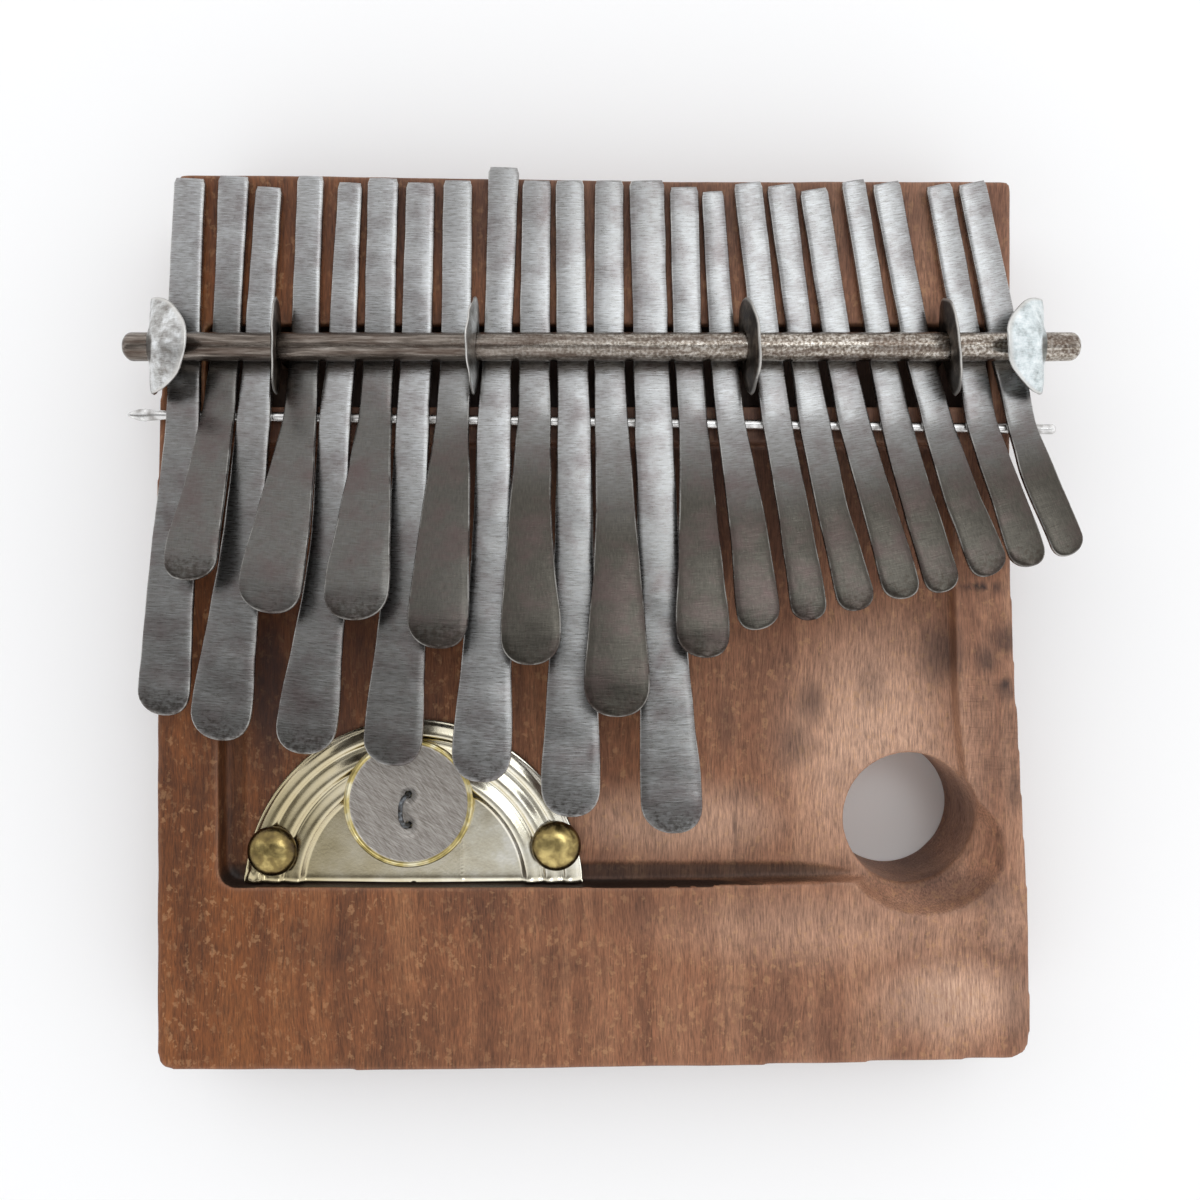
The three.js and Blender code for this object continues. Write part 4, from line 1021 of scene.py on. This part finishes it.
disc_looks = {
    "clamp_eye_left_outer": (1, 0.8, 0.9, scaled_plate),
    "clamp_eye_left_inner": (2, -0.9, 0.9, pale_plate),
    "clamp_eye_right_inner": (3, 0.5, 1.2, scaled_plate),
    "clamp_eye_right_outer": (4, -0.4, 1.2, scaled_plate),
    "end_disc_left": (5, 0.5, 1.2, pale_plate),
    "end_disc_right": (6, -0.5, 1.2, clean_plate),
}
for node, (seed, bend, thickness, metal) in disc_looks.items():
    points, faces = [], []
    rings, at = disc_rings(node, seed, bend, thickness)
    add_shell(points, faces, rings, closed_round=True)
    rim_points = {tuple(ring[k]) for ring in rings for k in (5, 6, 7)}
    if node.startswith("clamp"):
        # The shank: heights up from its foot, with its half width along Y and along X at each.
        low_z = box_in_mm(node)[0][2]
        heights = [low_z, low_z + 0.4, 8, 20, 24, 27, 29.2, bar_z - disc_bore - 0.4]
        wide = [1.6, 2.0, 2.0, 2.0, 2.1, 2.2, 2.3, 2.4]
        flat = [1.6, 2.0, 2.0, 2.0, 1.7, 1.2, 0.8, 0.6]
        turns = np.linspace(0, 2 * math.pi, 20, endpoint=False)
        add_shell(points, faces, [
            [(at + f * math.cos(a), bar_y + w * math.sin(a), h) for a in turns]
            for h, w, f in zip(heights, wide, flat)])
    mesh = mesh_of(node, points, faces)
    piece = add_object(node + "_hammered", mesh, metal)
    edge_places = np.array(sorted(rim_points))
    wear = [np.abs(edge_places - p).sum(1).min() < 0.02 for p in points_of(mesh)]
    store(mesh, "wear", np.array(wear) * 0.8)
    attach(piece, "instrument")
    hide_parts(node)

# ---- Clamp nuts and washers ----
# Zinc-plated hex nuts on washers, sunk in the back of the board, one on each clamp eye's shank.
# They draw the bar down on the keys.

clamp_names = ("left_outer", "left_inner", "right_inner", "right_outer")


def turned_mesh(name, profile, corners=0, sides=48):
    """A ring turned round Z from (radius, height) points, cut to a prism if it has corners."""
    widest = max(radius for radius, height in profile)
    rings = []
    for k in range(sides):
        angle = 2 * math.pi * k / sides
        limit = widest
        if corners:
            sector = (angle + math.pi / corners) % (2 * math.pi / corners) - math.pi / corners
            limit = widest * math.cos(math.pi / corners) / math.cos(sector)
        rings.append([(min(radius, limit) * math.cos(angle),
                       min(radius, limit) * math.sin(angle), height) for radius, height in profile])
    return shell_mesh(name, rings, closed_round=True)


on_points = bpy.data.node_groups.new("pieces_on_points", "GeometryNodeTree")
point_inputs = add_sockets(on_points, [
    ("Points", "NodeSocketGeometry", None), ("Piece", "NodeSocketObject", None),
    ("Largest Turn", "NodeSocketFloat", 1.0), ("Seed", "NodeSocketInt", 0),
    ("Metal", "NodeSocketMaterial", None)])
given = add_node(on_points, "NodeGroupInput").outputs
copied = add_node(on_points, "GeometryNodeObjectInfo", {"Object": given["Piece"]})
turn = add_node(on_points, "FunctionNodeRandomValue", {"Seed": given["Seed"]}, data_type="FLOAT")
turned = add_node(on_points, "ShaderNodeMath", {0: turn.outputs[1], 1: given["Largest Turn"]},
                  operation="MULTIPLY")
spin = add_node(on_points, "ShaderNodeCombineXYZ", {"Z": turned})
instances = add_node(on_points, "GeometryNodeInstanceOnPoints", {
    "Points": given["Points"], "Instance": copied.outputs["Geometry"], "Rotation": spin})
real = add_node(on_points, "GeometryNodeRealizeInstances", {"Geometry": instances})
dressed = add_node(on_points, "GeometryNodeSetMaterial", {
    "Geometry": real, "Material": given["Metal"]})
add_node(on_points, "NodeGroupOutput", {0: dressed})

# Zinc plate: pale bluish grey, a little clouded in patches of 2 mm, fairly smooth.
zinc = mottled_metal("zinc_plated_steel", 0.6, [(0.3, "#8d9194"), (0.5, "#b4b8bb"),
                                                (0.7, "#d2d5d6")], 0.3, 0.1, 0.34)

for kind, corners, largest_turn in (("nut", 6, math.pi / 3), ("washer", 0, 0.0)):
    boxes = [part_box(f"clamp_{kind}_{name}") for name in clamp_names]
    low, high = box_in_mm(f"clamp_{kind}_{clamp_names[0]}")
    half_width = (high[0] - low[0]) / 2
    half_height = (high[2] - low[2]) / 2
    bore = shank_radius + 0.15
    bevel = 0.5 if kind == "nut" else 0.18
    under = [(bore, 0.2 - half_height), (bore + 0.2, -half_height),
             (half_width - bevel, -half_height), (half_width, bevel * 0.6 - half_height)]
    profile = under + [(radius, -height) for radius, height in reversed(under)]
    pattern = bpy.data.objects.new(kind, turned_mesh(kind, profile, corners))
    bpy.context.scene.collection.objects.link(pattern)
    stands = bpy.data.meshes.new(f"clamp_{kind}s")
    stands.from_pydata([tuple((corner_low + corner_high) / 2) for corner_low, corner_high in boxes],
                       [], [])
    group = add_object(f"clamp_{kind}s_zinc", stands)
    modifier = group.modifiers.new("on_points", "NODES")
    modifier.node_group = on_points
    modifier[point_inputs["Piece"]] = pattern
    modifier[point_inputs["Largest Turn"]] = largest_turn
    modifier[point_inputs["Seed"]] = 4
    modifier[point_inputs["Metal"]] = zinc
    bake_modifiers(group)
    bpy.data.objects.remove(pattern)
    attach(group, "instrument")
    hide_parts(*[f"clamp_{kind}_{name}" for name in clamp_names])

# ---- Rattle plate ----
# Half of a pressed tin lid with stepped rings round a flat panel, cut straight and pushed against
# the foot wall. Thin lacquered tinplate, creased once, its left corner crumpled by the nailing.

low, high = box_in_mm("rattle_plate")
lid_radius = (high[0] - low[0]) / 2
lid_x = (high[0] + low[0]) / 2
lid_y = high[1] - lid_radius
lid_cut = low[1] - lid_y
lid_sheet = 0.4
lid_top = recess_floor + 0.2 + lid_sheet
panel_radius = 25.6
ring_pitch = 4.5
lid_rings = 120
lid_steps = 180


def lid_rise(radius):
    """Height of the pressed rings over the panel: a steep inner step, a crest and a long fall."""
    share = (radius - panel_radius) / ring_pitch
    within = share - np.floor(share)
    crest = step(0.0, 0.28, within) * (1 - 0.72 * step(0.38, 0.95, within))
    first = step(-0.02, 0.02, share)
    last = 1 - step(lid_radius - 1.2, lid_radius - 0.3, radius)
    return 0.28 * first * last + 0.85 * crest * (share > 0) * last


radii = np.linspace(lid_cut + 0.02, lid_radius, lid_rings)
top_rows, under_rows = [], []
for radius in radii:
    cut_angle = math.asin(min(1, lid_cut / radius))
    angles = np.linspace(cut_angle, math.pi - cut_angle, lid_steps)
    x = lid_x + radius * np.cos(angles)
    y = lid_y + radius * np.sin(angles)
    z = lid_top + lid_rise(np.full(lid_steps, radius))
    places = np.column_stack([x, y, z])
    wavy = 0.05 * lumps(places, (14, 14, 9), 21) + 0.008 * lumps(places, (3, 3, 3), 22)
    crease = 0.14 * np.exp(-np.abs(x - (lid_x + 11.2)) / 0.35) * (radius < panel_radius - 1)
    corner = np.exp(-((x - low[0] - 1) ** 2 + (y - low[1]) ** 2) / 14)
    crumple = corner * (0.9 + 0.9 * lumps(places, (1.4, 1.4, 9), 23))
    foot_lip = 0.45 * np.exp(-(y - low[1]) / 0.5)
    z = z + wavy + crease + crumple + foot_lip * (1 - corner)
    top_rows.append(np.column_stack([x, y, z]))
    under_rows.append(np.column_stack([x, y, z - lid_sheet]))
lid_mesh = shell_mesh("rattle_plate", [np.vstack([top, under[::-1]])
                                       for top, under in zip(top_rows, under_rows)])
lid_plate = add_object("rattle_plate_pressed", lid_mesh)

# Lacquered tinplate: pale straw gold, glossy, with soft cloudy rubbing and a faint fine unevenness.
tinplate, tree = new_material("lacquered_tinplate")
from_lid = place_in_mm(tree, (lid_x, lid_y, 0))
rub = add_node(tree, "ShaderNodeTexNoise", {
    "Vector": from_lid, "Scale": 0.16, "Detail": 5, "Roughness": 0.6})
fine = add_node(tree, "ShaderNodeTexNoise", {"Vector": from_lid, "Scale": 1.4, "Detail": 3})
rub_tone = add_node(tree, "ShaderNodeValToRGB", {"Fac": rub},
                    stops=[(0.3, "#dad1b8"), (0.5, "#eae4d0"), (0.7, "#f5f2e6")])
lid_side = add_node(tree, "ShaderNodeSeparateXYZ", {"Vector": from_lid}).outputs["X"]
# Darker towards the left: partly the lacquer's own tone and partly painted shade, since the light comes
# from the right.
lacquer_and_shade_left = add_node(tree, "ShaderNodeMapRange", {
    "Value": lid_side, "From Min": 20, "From Max": -30, "To Max": 0.85})
tin_tone = add_node(tree, "ShaderNodeMixRGB", {
    "Fac": lacquer_and_shade_left, "Color1": rub_tone, "Color2": to_linear("#b9aa80")})
tin_rough = add_node(tree, "ShaderNodeMapRange", {
    "Value": rub, "From Min": 0.35, "From Max": 0.65, "To Min": 0.18, "To Max": 0.26})
tin_bump = add_node(tree, "ShaderNodeBump", {
    "Height": fine, "Strength": 0.2, "Distance": 0.06 * MM})
finish(tree, tin_tone, tin_rough, tin_bump)
lid_mesh.materials.append(tinplate)
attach(lid_plate, "instrument")
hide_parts("rattle_plate")

# ---- Rattle disc ----
# The end of a small tin, its seam folded over as a gold-lacquered rim, the face scoured bare. Two
# holes punched from above, with dished edges, let it lift and buzz on the wire.

low, high = box_in_mm("rattle_disc")
disc_x, disc_y = (low[0] + high[0]) / 2, (low[1] + high[1]) / 2
tin_radius = (high[0] - low[0]) / 2
tin_under = low[2]
tin_face = tin_under + 0.7
rim_crest = high[2]
rim_width = 1.1
wire_holes = [(wire_x, leg_ends[0]), (wire_x, leg_ends[1])]


def dished(x, y):
    """How far the face is pushed down round each punched hole, with a small raised lip."""
    drop = np.zeros(np.shape(x))
    for hole_at_x, hole_at_y in wire_holes:
        away = np.hypot(x - hole_at_x, y - hole_at_y)
        drop += 0.34 * np.exp(-(away / 1.3) ** 2) - 0.12 * np.exp(-((away - 2.1) / 0.6) ** 2)
    return drop


angles = np.linspace(0, 2 * math.pi, 128, endpoint=False)
inner = tin_radius - rim_width
top_profile = [(r, None) for r in np.linspace(0.15, inner - 0.5, 46)]
rim_profile = [(inner - 0.2, 0.12), (inner, 0.6), (inner + 0.25, 0.92), (inner + 0.6, 1.0),
               (tin_radius - 0.3, 0.86), (tin_radius - 0.05, 0.5), (tin_radius, 0.1),
               (tin_radius - 0.1, -0.9), (tin_radius - 0.5, -1.0)]
rings = []
for radius, lift in top_profile + rim_profile:
    x = disc_x + radius * np.cos(angles)
    y = disc_y + radius * np.sin(angles)
    if lift is None:
        z = tin_face - dished(x, y)
    elif lift >= 0:
        z = np.full(len(angles), tin_face + (rim_crest - tin_face) * lift)
    else:
        z = np.full(len(angles), tin_face + (tin_face - tin_under) * lift)
    rings.append(np.column_stack([x, y, z]))
for radius in np.linspace(tin_radius - 1.5, 0.15, 30):
    x = disc_x + radius * np.cos(angles)
    y = disc_y + radius * np.sin(angles)
    rings.append(np.column_stack([x, y, tin_under + 0.18 - np.maximum(dished(x, y), 0) * 0.4]))
for ring in rings:
    ring[:, 2] += 0.06 * lumps(ring * np.array([1, 1, 0]), (12, 12, 8), 31)
tin_disc = add_object("rattle_disc_tin", shell_mesh("rattle_disc", rings))
punch_points, punch_faces = [], []
round_hole = np.linspace(0, 2 * math.pi, 20, endpoint=False)
for hole_at_x, hole_at_y in wire_holes:
    add_shell(punch_points, punch_faces, [
        [(hole_at_x + 0.85 * math.cos(a), hole_at_y + 0.85 * math.sin(a), h) for a in round_hole]
        for h in (tin_under - 2, rim_crest + 2)])
punch = bpy.data.objects.new("punch", mesh_of("punch", punch_points, punch_faces))
bpy.context.scene.collection.objects.link(punch)
punched = tin_disc.modifiers.new("punched", "BOOLEAN")
punched.object = punch
punched.operation = "DIFFERENCE"
bake_modifiers(tin_disc)
bpy.data.objects.remove(punch)
tin_disc.data.shade_smooth()

# Scoured tin: grey with brown lows, brushed in short strokes to and fro about 0.3 mm wide.
scoured, tree = new_material("scoured_tin")
place = add_node(tree, "ShaderNodeTexCoord").outputs["Object"]
strokes = []
for turn_angle, width in ((0.9, 3.4), (0.5, 5.0)):
    turned_place = add_node(tree, "ShaderNodeVectorRotate", {"Vector": place, "Angle": turn_angle},
                            rotation_type="Z_AXIS")
    stroke_place = add_node(tree, "ShaderNodeMapping", {
        "Vector": turned_place, "Scale": (350, width * 1000, 1000)})
    strokes.append(add_node(tree, "ShaderNodeTexNoise", {
        "Vector": stroke_place, "Scale": 1.0, "Detail": 4, "Roughness": 0.65}))
stroke = add_node(tree, "ShaderNodeMath", {
    0: strokes[0].outputs["Fac"], 1: strokes[1].outputs["Fac"]}, operation="ADD")
halved = add_node(tree, "ShaderNodeMath", {0: stroke, 1: 0.5}, operation="MULTIPLY")
scoured_tone = add_node(tree, "ShaderNodeValToRGB", {"Fac": halved},
                        stops=[(0.36, "#7d756d"), (0.5, "#a59f98"), (0.64, "#c6c1ba")])
stroke_bump = add_node(tree, "ShaderNodeBump", {
    "Height": halved, "Strength": 0.6, "Distance": 0.1 * MM})
finish(tree, scoured_tone, 0.4, stroke_bump)

# Gold lacquer on the folded rim, worn through to tin in spots.
gold_rim = mottled_metal("gold_lacquered_tin", 0.3, [(0.32, "#9a8a55"), (0.5, "#cdbb7c"),
                                                     (0.68, "#ece4c2")], 0.3, 0.1, 0.28)

tin_disc.data.materials.clear()
for metal in (scoured, gold_rim):
    tin_disc.data.materials.append(metal)
for face in tin_disc.data.polygons:
    centre = face.center / MM
    face.material_index = int(math.hypot(centre.x - disc_x, centre.y - disc_y) > inner - 0.3)
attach(tin_disc, "rattle")
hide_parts("rattle_disc")

# ---- Tacks ----
# Two domed brass upholstery tacks hold the plate. Pressed brass, browned in its lows, the crowns
# rubbed to yellow and lit with a painted highlight, the base darker; the left dome took a few hammer
# marks.

# Old brass: brown tarnish with yellow crowns, partly rubbed and partly a painted highlight, mottled
# in spots of about 2.5 mm.
brass, tree = new_material("tarnished_brass")
mm_place = place_in_mm(tree)
tarnish = add_node(tree, "ShaderNodeTexNoise", {
    "Vector": mm_place, "Scale": 0.4, "Detail": 4, "Roughness": 0.5})
crown_rub_and_highlight = add_node(tree, "ShaderNodeAttribute", attribute_name="crown").outputs["Fac"]
rubbed_and_lit = add_node(tree, "ShaderNodeMath", {0: tarnish, 1: crown_rub_and_highlight}, operation="ADD")
brass_tone = add_node(tree, "ShaderNodeValToRGB", {"Fac": rubbed_and_lit},
                      stops=[(0.42, "#4b3e2e"), (0.75, "#88764a"), (1.0, "#cbb678")])
brass_bump = add_node(tree, "ShaderNodeBump", {
    "Height": tarnish, "Strength": 0.4, "Distance": 0.2 * MM})
finish(tree, brass_tone, 0.27, brass_bump)

for node, dents in (("tack_left", 0.3), ("tack_right", 0.06)):
    low, high = box_in_mm(node)
    middle = (low + high) / 2
    dome_radius = (high[0] - low[0]) / 2
    dome_height = 3.0
    dome_base = high[2] - dome_height
    pin_radius = 0.75
    profile = [(0.05, low[2]), (0.4, low[2] + 0.8), (pin_radius, low[2] + 1.8),
               (pin_radius, dome_base + 0.5), (pin_radius + 0.5, dome_base + 0.6),
               (dome_radius - 0.9, dome_base + 0.25), (dome_radius - 0.3, dome_base)]
    for degrees in range(0, 90, 6):
        angle = math.radians(degrees)
        profile.append((dome_radius * math.cos(angle),
                        dome_base + 0.15 + (dome_height - 0.15) * math.sin(angle) ** 0.92))
    turns = np.linspace(0, 2 * math.pi, 56, endpoint=False)
    rings = []
    for radius, height in profile:
        ring = np.column_stack([middle[0] + radius * np.cos(turns),
                                middle[1] + radius * np.sin(turns), np.full(len(turns), height)])
        if height > dome_base + 0.5 and radius > pin_radius + 1 or height > dome_base + 1:
            ring[:, 2] += dents * np.minimum(lumps(ring, (2.6, 2.6, 9), dents * 10), 0.1)
        rings.append(ring)
    mesh = shell_mesh(node, rings)
    # Painted highlight: the crown share lightens the top of each dome and leaves its base darker,
    # partly as rubbing.
    store(mesh, "crown", (0.5 - 0.6 * dents) * step(dome_base + 0.8, high[2], points_of(mesh)[:, 2]))
    dome = add_object(node + "_brass", mesh, brass)
    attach(dome, "instrument")
    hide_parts(node)
